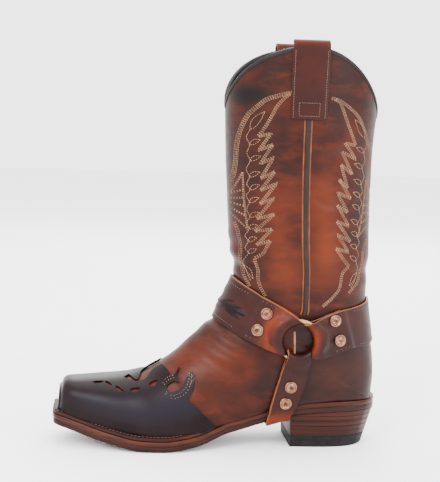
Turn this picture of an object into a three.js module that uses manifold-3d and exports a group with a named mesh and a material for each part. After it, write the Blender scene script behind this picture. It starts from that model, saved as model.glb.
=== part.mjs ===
// Western harness boot for the left foot, standing empty on its sole.
// Millimetres, +Z up, the toe towards -X and the outer side of the foot towards -Y.
import * as THREE from "three";
import { mergeVertices } from "three/addons/utils/BufferGeometryUtils.js";
import { TessellateModifier } from "three/addons/modifiers/TessellateModifier.js";
import Module from "manifold-3d";

const wasm = await Module();
wasm.setup();

// Driving sizes of the boot
const bootLength = 315;
const ballWidth = 100;
const instepHeight = 120;
const shaftHeight = 382;
const collarFrontHeight = 327;
const collarBackHeight = 320;
const heelSeatHeight = 46.5;
const wall = 2.4;
const clearance = 0.3;

// Sole package
const weltThickness = 4;
const midsoleThickness = 4.3;
const outsoleThickness = 5.2;
const outsoleCamber = 1.9;
const weltInset = 0.9;
const outsoleInset = 0.7;
const insoleThickness = 2.2;
const lastingMargin = 9;

// Heel
const breastShare = 0.72;
const topLiftThickness = 11.4;
const stackLifts = 5;
const heelTaperBack = 10.6;
const heelTaperBreast = 1.5;
const heelBottomShare = 0.87;
const heelEdgeInset = 0.6;

// Toe cap overlay
const capThickness = 1.5;

// Harness
const strapThickness = 2.1;
const ringRadius = 18.8;
const ringWire = 4.4;
const ringSlack = 2;
const ringPosition = { along: 0.7315, height: 0.905 };
const harnessStrapWidth = 45;
const underStrapWidth = 26;
const studRadius = 6.1;
const studHeight = 2.2;

// Pull straps and side seam
const pullStrapWidth = 34;
const pullStrapThickness = 2.6;
const pullStrapOutside = 66;
const pullStrapInside = 52;
const pullLoopRise = 6.5;
const insideSlack = 1.8;
const pipingWidth = 4.6;
const pipingHeight = 2;

const outer = -1;
const inner = 1;

// Smooth curve through the rows of a table, with no overshoot between them.
function curveThrough(positions, values) {
  const last = positions.length - 1;
  const slopes = [];
  for (let i = 0; i < last; i++)
    slopes.push((values[i + 1] - values[i]) / (positions[i + 1] - positions[i]));
  const tangents = positions.map((_, i) => {
    if (i === 0) return slopes[0];
    if (i === last) return slopes[last - 1];
    const before = slopes[i - 1];
    const after = slopes[i];
    return before * after <= 0 ? 0 : (2 * before * after) / (before + after);
  });
  return (position) => {
    let i = 0;
    while (i < last - 1 && position > positions[i + 1]) i++;
    const span = positions[i + 1] - positions[i];
    const u = THREE.MathUtils.clamp((position - positions[i]) / span, 0, 1);
    const a = 2 * u ** 3 - 3 * u ** 2 + 1;
    const b = u ** 3 - 2 * u ** 2 + u;
    const c = -2 * u ** 3 + 3 * u ** 2;
    const d = u ** 3 - u ** 2;
    return a * values[i] + b * span * tangents[i] + c * values[i + 1] + d * span * tangents[i + 1];
  };
}

// Turns a table of rows into one curve for each named column.
function tableCurves(columns, rows, key) {
  const keys = rows.map((row) => row[columns.indexOf(key)]);
  const curves = {};
  for (const name of columns)
    curves[name] = curveThrough(keys, rows.map((row) => row[columns.indexOf(name)]));
  return curves;
}

const along = (share) => (share - 0.5) * bootLength;
const shareOf = (x) => x / bootLength + 0.5;

// Heights in the tables: up to 1 a share of the instep height, and from 1 to 2 the rest up to the collar.
function heightOf(share) {
  if (share <= 1) return share * instepHeight;
  return instepHeight + (share - 1) * (shaftHeight - instepHeight);
}

// Top line of the sole along the foot: rise is a share of the heel seat height.
const soleLine = tableCurves(
  ["share", "rise"],
  [
    [0.0, 0.755],
    [0.06, 0.655],
    [0.13, 0.52],
    [0.2, 0.405],
    [0.265, 0.33],
    [0.335, 0.318],
    [0.402, 0.372],
    [0.48, 0.49],
    [0.563, 0.62],
    [0.645, 0.765],
    [0.746, 0.925],
    [0.88, 0.995],
    [1.0, 1.0],
  ],
  "share",
);

// Half widths of the outsole on the outer and inner side, as shares of half the ball width.
const soleOutline = tableCurves(
  ["share", "outer", "inner"],
  [
    [0.0, 0.24, 0.31],
    [0.006, 0.38, 0.45],
    [0.018, 0.46, 0.53],
    [0.043, 0.54, 0.61],
    [0.087, 0.66, 0.73],
    [0.144, 0.8, 0.85],
    [0.21, 0.92, 0.95],
    [0.27, 0.99, 0.98],
    [0.335, 1.01, 0.94],
    [0.4, 0.98, 0.86],
    [0.46, 0.9, 0.77],
    [0.525, 0.8, 0.69],
    [0.59, 0.72, 0.64],
    [0.65, 0.68, 0.63],
    [0.715, 0.68, 0.65],
    [0.785, 0.7, 0.68],
    [0.85, 0.71, 0.69],
    [0.91, 0.66, 0.65],
    [0.955, 0.53, 0.53],
    [0.98, 0.37, 0.37],
    [0.994, 0.2, 0.2],
    [1.0, 0.07, 0.07],
  ],
  "share",
);

const weltEndShare = 0.487;
const weltFade = 0.045;
const soleTop = (x) => soleLine.rise(shareOf(x)) * heelSeatHeight;
const soleHalf = (x, side) => soleOutline[side < 0 ? "outer" : "inner"](shareOf(x)) * (ballWidth / 2);
// The welt lies on the forefoot only: behind it the midsole comes up to the upper.
const weltShare = (x) => 1 - THREE.MathUtils.smoothstep(shareOf(x), weltEndShare - weltFade, weltEndShare + weltFade);
const midsoleTop = (x) => soleTop(x) - weltThickness * weltShare(x) - clearance;
const midsoleBottom = (x) => midsoleTop(x) - midsoleThickness;
const outsoleTop = (x) => midsoleBottom(x) - clearance;

// Sections of the upper from toe to collar. Each is a plane from a front point to a back point.
// front and back: place along the boot; frontRise and backRise: heights, where null means on the sole.
// outer and inner: half widths over half the ball width; flat: share of the width that lies on the sole;
// widest: where along the section it is widest; top and low: roundness of the two halves, 2 is an ellipse.
const sectionColumns = [
  "front", "frontRise", "back", "backRise", "outer", "inner", "flat", "widest", "top", "low",
];
const sectionRows = [
  [0.0308, 0.445, 0.025, null, 0.35, 0.42, 0.9, 0.62, 3.0, 2.4],
  [0.0378, 0.486, 0.0317, null, 0.42, 0.49, 0.92, 0.62, 2.9, 2.4],
  [0.052, 0.498, 0.049, null, 0.49, 0.56, 0.93, 0.62, 2.8, 2.3],
  [0.087, 0.504, 0.094, null, 0.6, 0.67, 0.94, 0.64, 2.6, 2.2],
  [0.144, 0.518, 0.157, null, 0.73, 0.78, 0.94, 0.66, 2.4, 2.1],
  [0.208, 0.535, 0.233, null, 0.84, 0.87, 0.93, 0.7, 2.2, 2.0],
  [0.271, 0.573, 0.316, null, 0.92, 0.89, 0.93, 0.73, 2.05, 2.0],
  [0.322, 0.642, 0.411, null, 0.92, 0.83, 0.93, 0.73, 1.95, 2.0],
  [0.367, 0.728, 0.506, null, 0.87, 0.78, 0.9, 0.7, 1.9, 2.0],
  [0.405, 0.822, 0.602, null, 0.83, 0.76, 0.85, 0.62, 1.9, 2.0],
  [0.437, 0.9, 0.703, null, 0.81, 0.75, 0.8, 0.55, 1.95, 2.1],
  [0.462, 0.967, 0.802, null, 0.79, 0.75, 0.82, 0.5, 2.0, 2.2],
  [0.4815, 0.996, 0.887, null, 0.78, 0.76, 0.77, 0.47, 2.0, 2.3],
  [0.497, 1.015, 0.948, null, 0.78, 0.764, 0.58, 0.45, 2.0, 2.3],
  [0.506, 1.028, 0.975, null, 0.78, 0.77, 0.36, 0.45, 2.0, 2.3],
  [0.511, 1.036, 0.984, null, 0.784, 0.774, 0.12, 0.45, 2.0, 2.3],
  [0.514, 1.042, 0.988, 0.45, 0.786, 0.776, 0.0, 0.45, 2.0, 2.3],
  [0.519, 1.055, 0.991, 0.567, 0.79, 0.78, 0.0, 0.46, 2.0, 2.2],
  [0.525, 1.07, 0.987, 0.733, 0.8, 0.79, 0.0, 0.48, 2.0, 2.1],
  [0.532, 1.095, 0.977, 0.883, 0.81, 0.8, 0.0, 0.48, 2.0, 2.0],
  [0.54, 1.124, 0.967, 1.008, 0.82, 0.81, 0.0, 0.5, 2.0, 2.0],
  [0.545, 1.164, 0.96, 1.099, 0.84, 0.84, 0.0, 0.5, 2.0, 2.0],
  [0.544, 1.21, 0.959, 1.176, 0.86, 0.86, 0.0, 0.5, 2.0, 2.0],
  [0.533, 1.275, 0.96, 1.256, 0.89, 0.89, 0.0, 0.5, 2.0, 2.0],
  [0.522, 1.374, 0.96, 1.366, 0.93, 0.93, 0.0, 0.5, 2.0, 2.0],
  [0.516, 1.481, 0.958, 1.481, 0.97, 0.97, 0.0, 0.5, 2.0, 2.0],
  [0.508, 1.63, 0.96, 1.63, 1.02, 1.02, 0.0, 0.5, 2.0, 2.0],
  [0.502, null, 0.969, null, 1.06, 1.06, 0.0, 0.5, 2.0, 2.0],
];
const topRow = sectionRows.length - 1;
const lastFlatRow = sectionRows.findIndex((row) => row[sectionColumns.indexOf("flat")] === 0);

function numberedRow(row, index) {
  const values = Object.fromEntries(sectionColumns.map((name, i) => [name, row[i]]));
  const onSole = values.backRise === null;
  const collar = index === topRow;
  const half = ballWidth / 2;
  return {
    fx: along(values.front),
    fz: collar ? collarFrontHeight : heightOf(values.frontRise),
    bx: along(values.back),
    bz: collar ? collarBackHeight : onSole ? midsoleTop(along(values.back)) + clearance : heightOf(values.backRise),
    outer: values.outer * half,
    inner: values.inner * half,
    flat: values.flat,
    widest: values.widest,
    top: values.top,
    low: values.low,
  };
}

const sectionTable = sectionRows.map(numberedRow);
const rowNumbers = sectionTable.map((_, i) => i);
const section = Object.fromEntries(
  Object.keys(sectionTable[0]).map((name) => [
    name,
    curveThrough(rowNumbers, sectionTable.map((row) => row[name])),
  ]),
);

// The scalloped collar: how far it stands above the last section at an angle round the shaft.
function scallop(angle) {
  const turn = Math.abs(Math.sin(angle));
  const front = Math.cos(angle) > 0;
  const dip = front ? collarFrontHeight : collarBackHeight;
  const sharpness = front ? 1.0 : 1.4;
  const level = (collarFrontHeight + collarBackHeight) / 2;
  const planar = level + ((collarFrontHeight - collarBackHeight) / 2) * Math.cos(angle);
  return dip + (shaftHeight - dip) * turn ** sharpness - planar;
}

// A point of the upper's outer face. row runs from toe to collar, and angle from 0 at the front
// ridge to pi at the back or the sole, negative on the outer side of the foot.
function lastPoint(row, angle) {
  const side = angle < 0 ? outer : inner;
  const turn = Math.min(Math.abs(angle), Math.PI);
  const r = Math.min(row, topRow);
  const fx = section.fx(r);
  const fz = section.fz(r);
  const dx = section.bx(r) - fx;
  const dz = section.bz(r) - fz;
  const half = side === outer ? section.outer(r) : section.inner(r);
  const widest = section.widest(r);
  const flat = half * section.flat(r);
  const [depth, width] =
    turn <= Math.PI / 2
      ? [
          widest * (1 - Math.cos(turn) ** (2 / section.top(r))),
          half * Math.sin(turn) ** (2 / section.top(r)),
        ]
      : [
          widest + (1 - widest) * Math.abs(Math.cos(turn)) ** (2 / section.low(r)),
          flat + (half - flat) * Math.abs(Math.sin(turn)) ** (2 / section.low(r)),
        ];
  const collarBlend = Math.max(0, row - (topRow - 1));
  return new THREE.Vector3(
    fx + dx * depth,
    side * width,
    fz + dz * depth + scallop(angle) * collarBlend + (row > topRow ? (row - topRow) * collarFrontHeight : 0),
  );
}

function lastNormal(row, angle) {
  const step = 0.02;
  const a = THREE.MathUtils.clamp(angle, -Math.PI + 2 * step, Math.PI - 2 * step);
  const r = THREE.MathUtils.clamp(row, step, topRow - step);
  const alongFoot = lastPoint(r + step, a).sub(lastPoint(r - step, a));
  const round = lastPoint(r, a + step).sub(lastPoint(r, a - step));
  return alongFoot.cross(round).normalize();
}

// Finds where a function of one value changes sign.
function solve(low, high, f) {
  let a = low;
  let b = high;
  const startsPositive = f(a) > 0;
  for (let i = 0; i < 40; i++) {
    const middle = (a + b) / 2;
    if (f(middle) > 0 === startsPositive) a = middle;
    else b = middle;
  }
  return (a + b) / 2;
}

// The row and angle of the upper's side at a place seen from the side.
function locate(x, z, side) {
  const offLine = (row) => {
    const fx = section.fx(row);
    const fz = section.fz(row);
    return (x - fx) * (section.bz(row) - fz) - (z - fz) * (section.bx(row) - fx);
  };
  const row = solve(0, topRow, offLine);
  const fx = section.fx(row);
  const fz = section.fz(row);
  const dx = section.bx(row) - fx;
  const dz = section.bz(row) - fz;
  const depth = THREE.MathUtils.clamp(((x - fx) * dx + (z - fz) * dz) / (dx * dx + dz * dz), 0, 1);
  const widest = section.widest(row);
  const turn =
    depth < widest
      ? Math.acos((1 - depth / widest) ** (section.top(row) / 2))
      : Math.PI - Math.acos(((depth - widest) / (1 - widest)) ** (section.low(row) / 2));
  return { row, angle: side * turn };
}

// Closed solids from grids and loops of points
function geometryOf(points, faces) {
  const positions = new Float32Array(points.flatMap((p) => [p.x, p.y, p.z]));
  const geometry = new THREE.BufferGeometry();
  geometry.setAttribute("position", new THREE.BufferAttribute(positions, 3));
  geometry.setIndex(faces.flat());
  return geometry;
}

// The same faces without their texture places and normals, so that equal points can be merged.
function bareGeometry(geometry) {
  const bare = new THREE.BufferGeometry();
  bare.setAttribute("position", geometry.getAttribute("position"));
  if (geometry.index) bare.setIndex(geometry.index);
  return bare;
}

function solidFrom(geometry) {
  const merged = mergeVertices(bareGeometry(geometry), 1e-3);
  const kept = [];
  const index = merged.index.array;
  for (let i = 0; i < index.length; i += 3) {
    const [a, b, c] = [index[i], index[i + 1], index[i + 2]];
    if (a !== b && b !== c && c !== a) kept.push(a, b, c);
  }
  const mesh = new wasm.Mesh({
    numProp: 3,
    vertProperties: merged.getAttribute("position").array,
    triVerts: new Uint32Array(kept),
  });
  return new wasm.Manifold(mesh);
}

function geometryFrom(solid) {
  const mesh = solid.getMesh();
  const geometry = new THREE.BufferGeometry();
  geometry.setAttribute("position", new THREE.BufferAttribute(new Float32Array(mesh.vertProperties), 3));
  geometry.setIndex(new THREE.BufferAttribute(new Uint32Array(mesh.triVerts), 1));
  return geometry;
}

// A tube of closed loops, each with the same number of points, with a fan over each end.
function loopSolid(loops) {
  const count = loops[0].length;
  const points = loops.flat();
  const faces = [];
  for (let i = 0; i < loops.length - 1; i++)
    for (let j = 0; j < count; j++) {
      const a = i * count + j;
      const b = i * count + ((j + 1) % count);
      faces.push([a, b, b + count], [a, b + count, a + count]);
    }
  for (const [loop, flip] of [[0, true], [loops.length - 1, false]]) {
    const middle = points.length;
    const centre = new THREE.Vector3();
    for (const p of loops[loop]) centre.addScaledVector(p, 1 / count);
    points.push(centre);
    for (let j = 0; j < count; j++) {
      const a = loop * count + j;
      const b = loop * count + ((j + 1) % count);
      faces.push(flip ? [b, a, middle] : [a, b, middle]);
    }
  }
  return geometryOf(points, faces);
}

// A plate between two grids of points: face lies on the side that the normals leave.
function plate(face, back) {
  const rows = face.length;
  const columns = face[0].length;
  const points = [...face.flat(), ...back.flat()];
  const at = (layer, i, j) => layer * rows * columns + i * columns + j;
  const faces = [];
  for (let i = 0; i < rows - 1; i++)
    for (let j = 0; j < columns - 1; j++) {
      const [a, b, c, d] = [at(0, i, j), at(0, i + 1, j), at(0, i + 1, j + 1), at(0, i, j + 1)];
      faces.push([a, b, c], [a, c, d]);
      const [e, f, g, h] = [at(1, i, j), at(1, i + 1, j), at(1, i + 1, j + 1), at(1, i, j + 1)];
      faces.push([e, g, f], [e, h, g]);
    }
  const wallBetween = (i, j, k, l) => {
    faces.push([at(0, i, j), at(1, i, j), at(1, k, l)], [at(0, i, j), at(1, k, l), at(0, k, l)]);
  };
  for (let i = 0; i < rows - 1; i++) {
    wallBetween(i, 0, i + 1, 0);
    wallBetween(i + 1, columns - 1, i, columns - 1);
  }
  for (let j = 0; j < columns - 1; j++) {
    wallBetween(0, j + 1, 0, j);
    wallBetween(rows - 1, j, rows - 1, j + 1);
  }
  return geometryOf(points, faces);
}

// The solid with its faces turned outwards, whichever way its grids ran.
function outwards(geometry) {
  const solid = solidFrom(geometry);
  if (solid.volume() > 0) return solid;
  const index = geometry.index.array;
  for (let i = 0; i < index.length; i += 3) [index[i + 1], index[i + 2]] = [index[i + 2], index[i + 1]];
  return solidFrom(geometry);
}

// Materials, with the colours that each piece shows
const finish = (color, roughness, metalness = 0) => new THREE.MeshStandardMaterial({ color, roughness, metalness });
const tanLeather = finish(0x7a3a22, 0.42);
const darkLeather = finish(0x352a2c, 0.4);
const harnessLeather = finish(0x5e2a20, 0.45);
const edgeLeather = finish(0x6e3a26, 0.55);
const stackLeather = finish(0x5c352a, 0.6);
const liningLeather = finish(0xa8835c, 0.8);
const heelRubber = finish(0x26211f, 0.8);
const brass = finish(0xb98f5c, 0.3, 1);

const boot = new THREE.Group();
function addPiece(name, solid, material) {
  const mesh = new THREE.Mesh(geometryFrom(solid), material);
  mesh.name = name;
  boot.add(mesh);
  return solid;
}

// Upper: the whole last shape, hollowed by its wall and opened below
const fine = { around: 12, spacing: 17 };
const coarse = { around: 8, spacing: 26 };
const collarReach = 0.06;

function rowStops(first, last, spacing) {
  const stops = [];
  for (let i = first; i < last; i++) {
    const reach = Math.max(
      Math.hypot(section.fx(i + 1) - section.fx(i), section.fz(i + 1) - section.fz(i)),
      Math.hypot(section.bx(i + 1) - section.bx(i), section.bz(i + 1) - section.bz(i)),
    );
    const steps = Math.max(1, Math.round(reach / spacing));
    for (let k = 0; k < steps; k++) stops.push(i + k / steps);
  }
  stops.push(last);
  return stops;
}

function lastLoop(row, around) {
  const loop = [];
  for (let j = -around; j <= around; j++) loop.push(lastPoint(row, (j / around) * Math.PI));
  if (row >= lastFlatRow) loop[0].y = loop[2 * around].y = 0;
  return loop;
}

// The last shape, grown by a distance along its own normals, or shrunk where it is negative.
function lastSolid(growth, detail, reach = 0) {
  const stops = rowStops(0, topRow, detail.spacing);
  if (reach) stops.push(topRow + reach);
  const plain = mergeVertices(loopSolid(stops.map((row) => lastLoop(row, detail.around))), 1e-3);
  const facing = solidFrom(plain).volume() > 0 ? 1 : -1;
  if (growth === 0) return outwards(plain);
  plain.computeVertexNormals();
  const position = plain.getAttribute("position");
  const normal = plain.getAttribute("normal");
  const point = new THREE.Vector3();
  const direction = new THREE.Vector3();
  for (let i = 0; i < position.count; i++) {
    point.fromBufferAttribute(position, i);
    direction.fromBufferAttribute(normal, i);
    point.addScaledVector(direction, facing * growth);
    position.setXYZ(i, point.x, point.y, point.z);
  }
  plain.deleteAttribute("normal");
  return outwards(plain);
}

// A plate that follows the foot's plan: rows along the boot and columns across it.
function solePlate(stops, columns, halfAt, topAt, bottomAt) {
  const grid = (heightAt) =>
    stops.map((x) =>
      columns.map((across) => {
        const half = halfAt(x, across < 0 ? outer : inner);
        return new THREE.Vector3(x, across * half, heightAt(x, across));
      }),
    );
  return outwards(plate(grid(topAt), grid(bottomAt)));
}

function stopsBetween(first, last, shares) {
  return [first, ...shares.map(along).filter((x) => x > first + 0.5 && x < last - 0.5), last];
}

const toeShares = [0.006, 0.018, 0.043, 0.087, 0.144, 0.21, 0.27, 0.335, 0.4, 0.46, 0.525, 0.59, 0.65];
const heelShares = [0.715, 0.785, 0.85, 0.91, 0.94, 0.955, 0.97, 0.98, 0.988, 0.994];
const soleShares = [...toeShares, ...heelShares];
const halves = [-1, -0.6, 0, 0.6, 1];

// The outsole's tread is raised towards its edges in the forefoot and flat on the floor below the ball.
const camberEnd = 0.6;
const camberAt = (x) => outsoleCamber * (1 - THREE.MathUtils.smoothstep(shareOf(x), camberEnd - 0.12, camberEnd));
const outsoleBottom = (x, across = 0) =>
  Math.max(0, outsoleTop(x) - outsoleThickness - camberAt(x) * (1 - across * across));

// Half width of the upper's flat underside at a place along the boot.
function undersideHalf(x, side) {
  const row = solve(0, lastFlatRow, (r) => section.bx(r) - x);
  return section.flat(row) * (side === outer ? section.outer(row) : section.inner(row));
}
const insoleEdge = lastingMargin + clearance;
const bottomFirst = along(sectionRows[0][sectionColumns.indexOf("back")]);
const bottomLast = section.bx(lastFlatRow);
const insetHalf = (inset) => (x, side) => {
  const fromToe = x - bottomFirst;
  const fromHeel = bottomLast - x;
  const corner = Math.min(1, Math.min(fromToe, fromHeel) / (2 * lastingMargin));
  return (undersideHalf(x, side) - inset) * (0.55 + 0.45 * corner);
};
const openingStops = stopsBetween(bottomFirst + lastingMargin, bottomLast - lastingMargin, soleShares);
const insoleStops = stopsBetween(bottomFirst + insoleEdge, bottomLast - insoleEdge, soleShares);
const threeColumns = [-1, 0, 1];
const opening = solePlate(
  openingStops,
  threeColumns,
  insetHalf(lastingMargin),
  (x) => midsoleTop(x) + wall + insoleThickness,
  (x) => midsoleTop(x) - wall,
);
const soleStops = stopsBetween(along(0), along(1), soleShares);
const belowUpper = solePlate(
  soleStops,
  threeColumns,
  () => ballWidth,
  (x) => midsoleTop(x) + clearance,
  () => -ballWidth,
);
const upperForm = lastSolid(0, fine).subtract(belowUpper);
const upper = largest(upperForm.subtract(lastSolid(-wall, coarse, collarReach)).subtract(opening));
addPiece("upper", upper, tanLeather);
const insole = solePlate(
  insoleStops,
  threeColumns,
  insetHalf(insoleEdge),
  (x) => midsoleTop(x) + clearance + insoleThickness,
  (x) => midsoleTop(x),
);
addPiece("insole", largest(insole.subtract(belowUpper)), liningLeather);

// Sole package
const grownUpper = lastSolid(clearance, fine);
const weltEnd = along(weltEndShare);
const weltHalf = (x, side) => Math.max(1, soleHalf(x, side) - weltInset);
const weltPlate = solePlate(
  stopsBetween(along(0) + weltInset, weltEnd, soleShares),
  threeColumns,
  weltHalf,
  (x) => soleTop(x),
  (x) => midsoleTop(x) + clearance,
);
const weltHole = grownUpper.add(grownUpper.translate(0, 0, -weltThickness / 2));
addPiece("welt", largest(weltPlate.subtract(weltHole)), edgeLeather);
addPiece("midsole", solePlate(soleStops, threeColumns, soleHalf, midsoleTop, midsoleBottom), edgeLeather);
const outsoleHalf = (x, side) => Math.max(1, soleHalf(x, side) - outsoleInset);
addPiece(
  "outsole",
  solePlate(
    stopsBetween(along(0) + outsoleInset, along(1) - outsoleInset, soleShares),
    halves,
    outsoleHalf,
    outsoleTop,
    outsoleBottom,
  ),
  edgeLeather,
);

function largest(solid) {
  const parts = solid.decompose();
  return parts.reduce((best, part) => (part.volume() > best.volume() ? part : best));
}

// Heel: a stack of lifts that narrows downwards, and the top lift that it stands on
const heelFront = along(breastShare);
const heelBack = along(1) - heelEdgeInset - outsoleInset;
const heelTop = outsoleBottom(heelBack);
const grooveDepth = 0.6;
const grooveHeight = 0.5;
const breastBulge = 1.2;

function heelLoop(z, groove = 0) {
  const fall = 1 - z / heelTop;
  const front = heelFront + heelTaperBreast * fall;
  const back = heelBack - heelTaperBack * fall;
  const narrowing = 1 - (1 - heelBottomShare) * fall;
  const stretch = (back - front) / (heelBack - heelFront);
  const edges = [];
  for (const x of [heelFront, ...heelShares.map(along).filter((x) => x > heelFront + 4 && x < heelBack - 1)]) {
    const half = (side) => (outsoleHalf(x, side) - heelEdgeInset) * narrowing - groove;
    edges.push({ x: front + (x - heelFront) * stretch, outer: half(outer), inner: half(inner) });
  }
  const loop = edges.map((edge) => new THREE.Vector3(edge.x, -edge.outer, z));
  loop.push(new THREE.Vector3(back - groove, 0, z));
  for (const edge of edges.toReversed()) loop.push(new THREE.Vector3(edge.x, edge.inner, z));
  const bulge = breastBulge * Math.max(0, 1 - 1.4 * fall);
  for (const across of [0.5, 0, -0.5])
    loop.push(new THREE.Vector3(front - bulge * (1 - across * across), across * edges[0].outer, z));
  return loop;
}

const liftHeight = (heelTop - topLiftThickness - clearance) / stackLifts;
const stackBottom = topLiftThickness + clearance;
const stackLoops = [heelLoop(stackBottom)];
for (let lift = 1; lift <= stackLifts; lift++) {
  const seam = stackBottom + lift * liftHeight;
  stackLoops.push(heelLoop(seam - grooveHeight), heelLoop(seam, grooveDepth), heelLoop(seam + grooveHeight));
}
stackLoops.push(heelLoop(heelTop + 4 * grooveHeight));
const heelCutter = solePlate(
  soleStops,
  threeColumns,
  (x) => ballWidth,
  (x) => heelTop + ballWidth / 2,
  (x) => outsoleBottom(x) - clearance,
);
addPiece("heel_stack", largest(outwards(loopSolid(stackLoops)).subtract(heelCutter)), stackLeather);
const liftLoops = [heelLoop(0, grooveDepth), heelLoop(1), heelLoop(topLiftThickness)];
addPiece("heel_top_lift", outwards(loopSolid(liftLoops)), heelRubber);

// Toe cap: the shell between two larger last shapes, kept inside its own cut outline.
// Places are side-view shares: along the boot, and up as a share of the instep height.
const capSpike = 0.325;
const capOutline = [
  [0.2937, 0.6025], [0.2705, 0.57], [0.2581, 0.5317], [0.2476, 0.5258], [0.2302, 0.5408],
  [0.214, 0.5267], [0.2324, 0.5167], [0.2597, 0.5175], [0.2838, 0.5433], [0.3029, 0.5933],
  [0.3311, 0.6383], [0.3492, 0.6008], [0.3559, 0.5667], [0.3663, 0.5908], [0.38, 0.6408],
  [0.3727, 0.5875], [0.3784, 0.5383], [0.3619, 0.5383], [0.3448, 0.5142], [0.3394, 0.4908],
  [0.3511, 0.4675], [0.3717, 0.4817], [0.3892, 0.5167], [0.4, 0.5733], [0.4165, 0.6192],
  [0.4235, 0.5925], [0.42, 0.5192], [0.4044, 0.4167], [0.4486, 0.3083], [0.493, 0.1825],
];
const capHoles = [
  [0.118, 0.494, 0.1571, 0.503],
  [0.158, 0.503, 0.179, 0.484],
  [0.1873, 0.4817, 0.2146, 0.4508],
  [0.2314, 0.4625, 0.2622, 0.4808],
  [0.2895, 0.5042, 0.3156, 0.54],
];
const holeWidth = 2.6;
const capLowAngle = 2.75;
const capGirthRadius = 22;
const capFrontRow = 0.6;

const ridgeArc = [0];
for (let row = 1; row <= topRow; row++)
  ridgeArc.push(ridgeArc[row - 1] + Math.hypot(section.fx(row) - section.fx(row - 1), section.fz(row) - section.fz(row - 1)));
const arcAt = curveThrough(rowNumbers, ridgeArc);
const rowAtArc = (arc) => solve(0, topRow, (row) => arcAt(row) - arc);

function patternPoint(share, rise, side) {
  const place = locate(along(share), rise * instepHeight, side);
  const angle = THREE.MathUtils.clamp(place.angle, -capLowAngle, capLowAngle);
  return new THREE.Vector2(arcAt(place.row), angle * capGirthRadius);
}

function leafHole(hole, side) {
  const [start, end] = [patternPoint(hole[0], hole[1], side), patternPoint(hole[2], hole[3], side)];
  const across = new THREE.Vector2(start.y - end.y, end.x - start.x).setLength(holeWidth / 2);
  const path = new THREE.Path();
  const point = (u, bulge) => start.clone().lerp(end, u).addScaledVector(across, bulge);
  path.setFromPoints([point(0, 0), point(0.25, 0.85), point(0.6, 1), point(1, 0), point(0.6, -1), point(0.25, -0.85)]);
  return path;
}

function capShape() {
  const spikeRow = solve(0, topRow, (row) => section.fx(row) - along(capSpike));
  const spike = new THREE.Vector2(arcAt(spikeRow), 0);
  const near = capOutline.map(([share, rise]) => patternPoint(share, rise, outer));
  const far = capOutline.map(([share, rise]) => patternPoint(share, rise, inner)).reverse();
  const low = capLowAngle * capGirthRadius;
  const front = arcAt(capFrontRow);
  const shape = new THREE.Shape([
    spike,
    ...near,
    new THREE.Vector2(front, -low),
    new THREE.Vector2(front, low),
    ...far,
  ]);
  for (const side of [outer, inner]) for (const hole of capHoles) shape.holes.push(leafHole(hole, side));
  return shape;
}

// Bends a flat outline onto the upper, as a slab between two distances from its face.
function bentOutline(shape, from, to, edgeLength) {
  const divided = new TessellateModifier(edgeLength, 24).modify(new THREE.ShapeGeometry(shape));
  const flat = mergeVertices(bareGeometry(divided), 1e-2);
  const position = flat.getAttribute("position");
  const layer = (height) =>
    Array.from({ length: position.count }, (_, i) => {
      const row = rowAtArc(position.getX(i));
      const angle = position.getY(i) / capGirthRadius;
      return lastPoint(row, angle).addScaledVector(lastNormal(row, angle), height);
    });
  const index = Array.from(flat.index.array);
  const faces = [];
  const edges = new Map();
  for (let i = 0; i < index.length; i += 3) {
    const [a, b, c] = index.slice(i, i + 3);
    if (a === b || b === c || c === a) continue;
    faces.push([a, b, c], [a + position.count, c + position.count, b + position.count]);
    for (const [from, to] of [[a, b], [b, c], [c, a]]) {
      if (!edges.delete(`${to},${from}`)) edges.set(`${from},${to}`, [from, to]);
    }
  }
  for (const [from, to] of edges.values())
    faces.push([to, from, from + position.count], [to, from + position.count, to + position.count]);
  return outwards(geometryOf([...layer(from), ...layer(to)], faces));
}

const capRegion = bentOutline(capShape(), -3, 6, 13);
const capFrontBlock = solidFrom(new THREE.BoxGeometry(40, ballWidth, instepHeight)).translate(
  section.fx(capFrontRow) - 20 + 1.5,
  0,
  instepHeight / 2,
);
const soleBlock = solePlate(
  stopsBetween(along(0) - 5, along(0.6), soleShares),
  threeColumns,
  () => ballWidth,
  (x) => soleTop(x) + clearance,
  () => -ballWidth,
);
const capShell = lastSolid(clearance + capThickness, fine).subtract(grownUpper);
addPiece(
  "toe_cap",
  largest(capShell.intersect(capRegion.add(capFrontBlock)).subtract(soleBlock)),
  darkLeather,
);

// Harness rings, flat against each side of the ankle. Straps and rings lie a little higher over
// the smooth upper than the clearance, so that they stay clear of its flat facets.
const seatRise = 2 * clearance;
const lift = strapThickness + clearance;
const tabRise = seatRise + strapThickness / 2;
const foldRadius = (ringWire + ringSlack + strapThickness) / 2;
const ringRise = tabRise + foldRadius;
const ringPlace = (side) => locate(along(ringPosition.along), ringPosition.height * instepHeight, side);

function ringFrame(side) {
  const place = ringPlace(side);
  const normal = lastNormal(place.row, place.angle);
  return { normal, centre: lastPoint(place.row, place.angle).addScaledVector(normal, ringRise) };
}
const ringFrames = { [outer]: ringFrame(outer), [inner]: ringFrame(inner) };

// The ring is flat and the ankle is round: how much higher a strap's fold lies to stay on the ring.
function ringLift(point, normal, side, run) {
  const frame = ringFrames[side];
  const height = frame.centre.clone().sub(point).dot(frame.normal) / normal.dot(frame.normal);
  return Math.max(0, height - ringRise) * (1 - THREE.MathUtils.smoothstep(run, 8, 18));
}

function ringSolid(side, wire) {
  const torus = new THREE.TorusGeometry(ringRadius, wire / 2, 8, 28);
  const { centre, normal } = ringFrames[side];
  const turn = new THREE.Quaternion().setFromUnitVectors(new THREE.Vector3(0, 0, 1), normal);
  torus.applyQuaternion(turn).translate(centre.x, centre.y, centre.z);
  return outwards(bareGeometry(torus));
}

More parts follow.
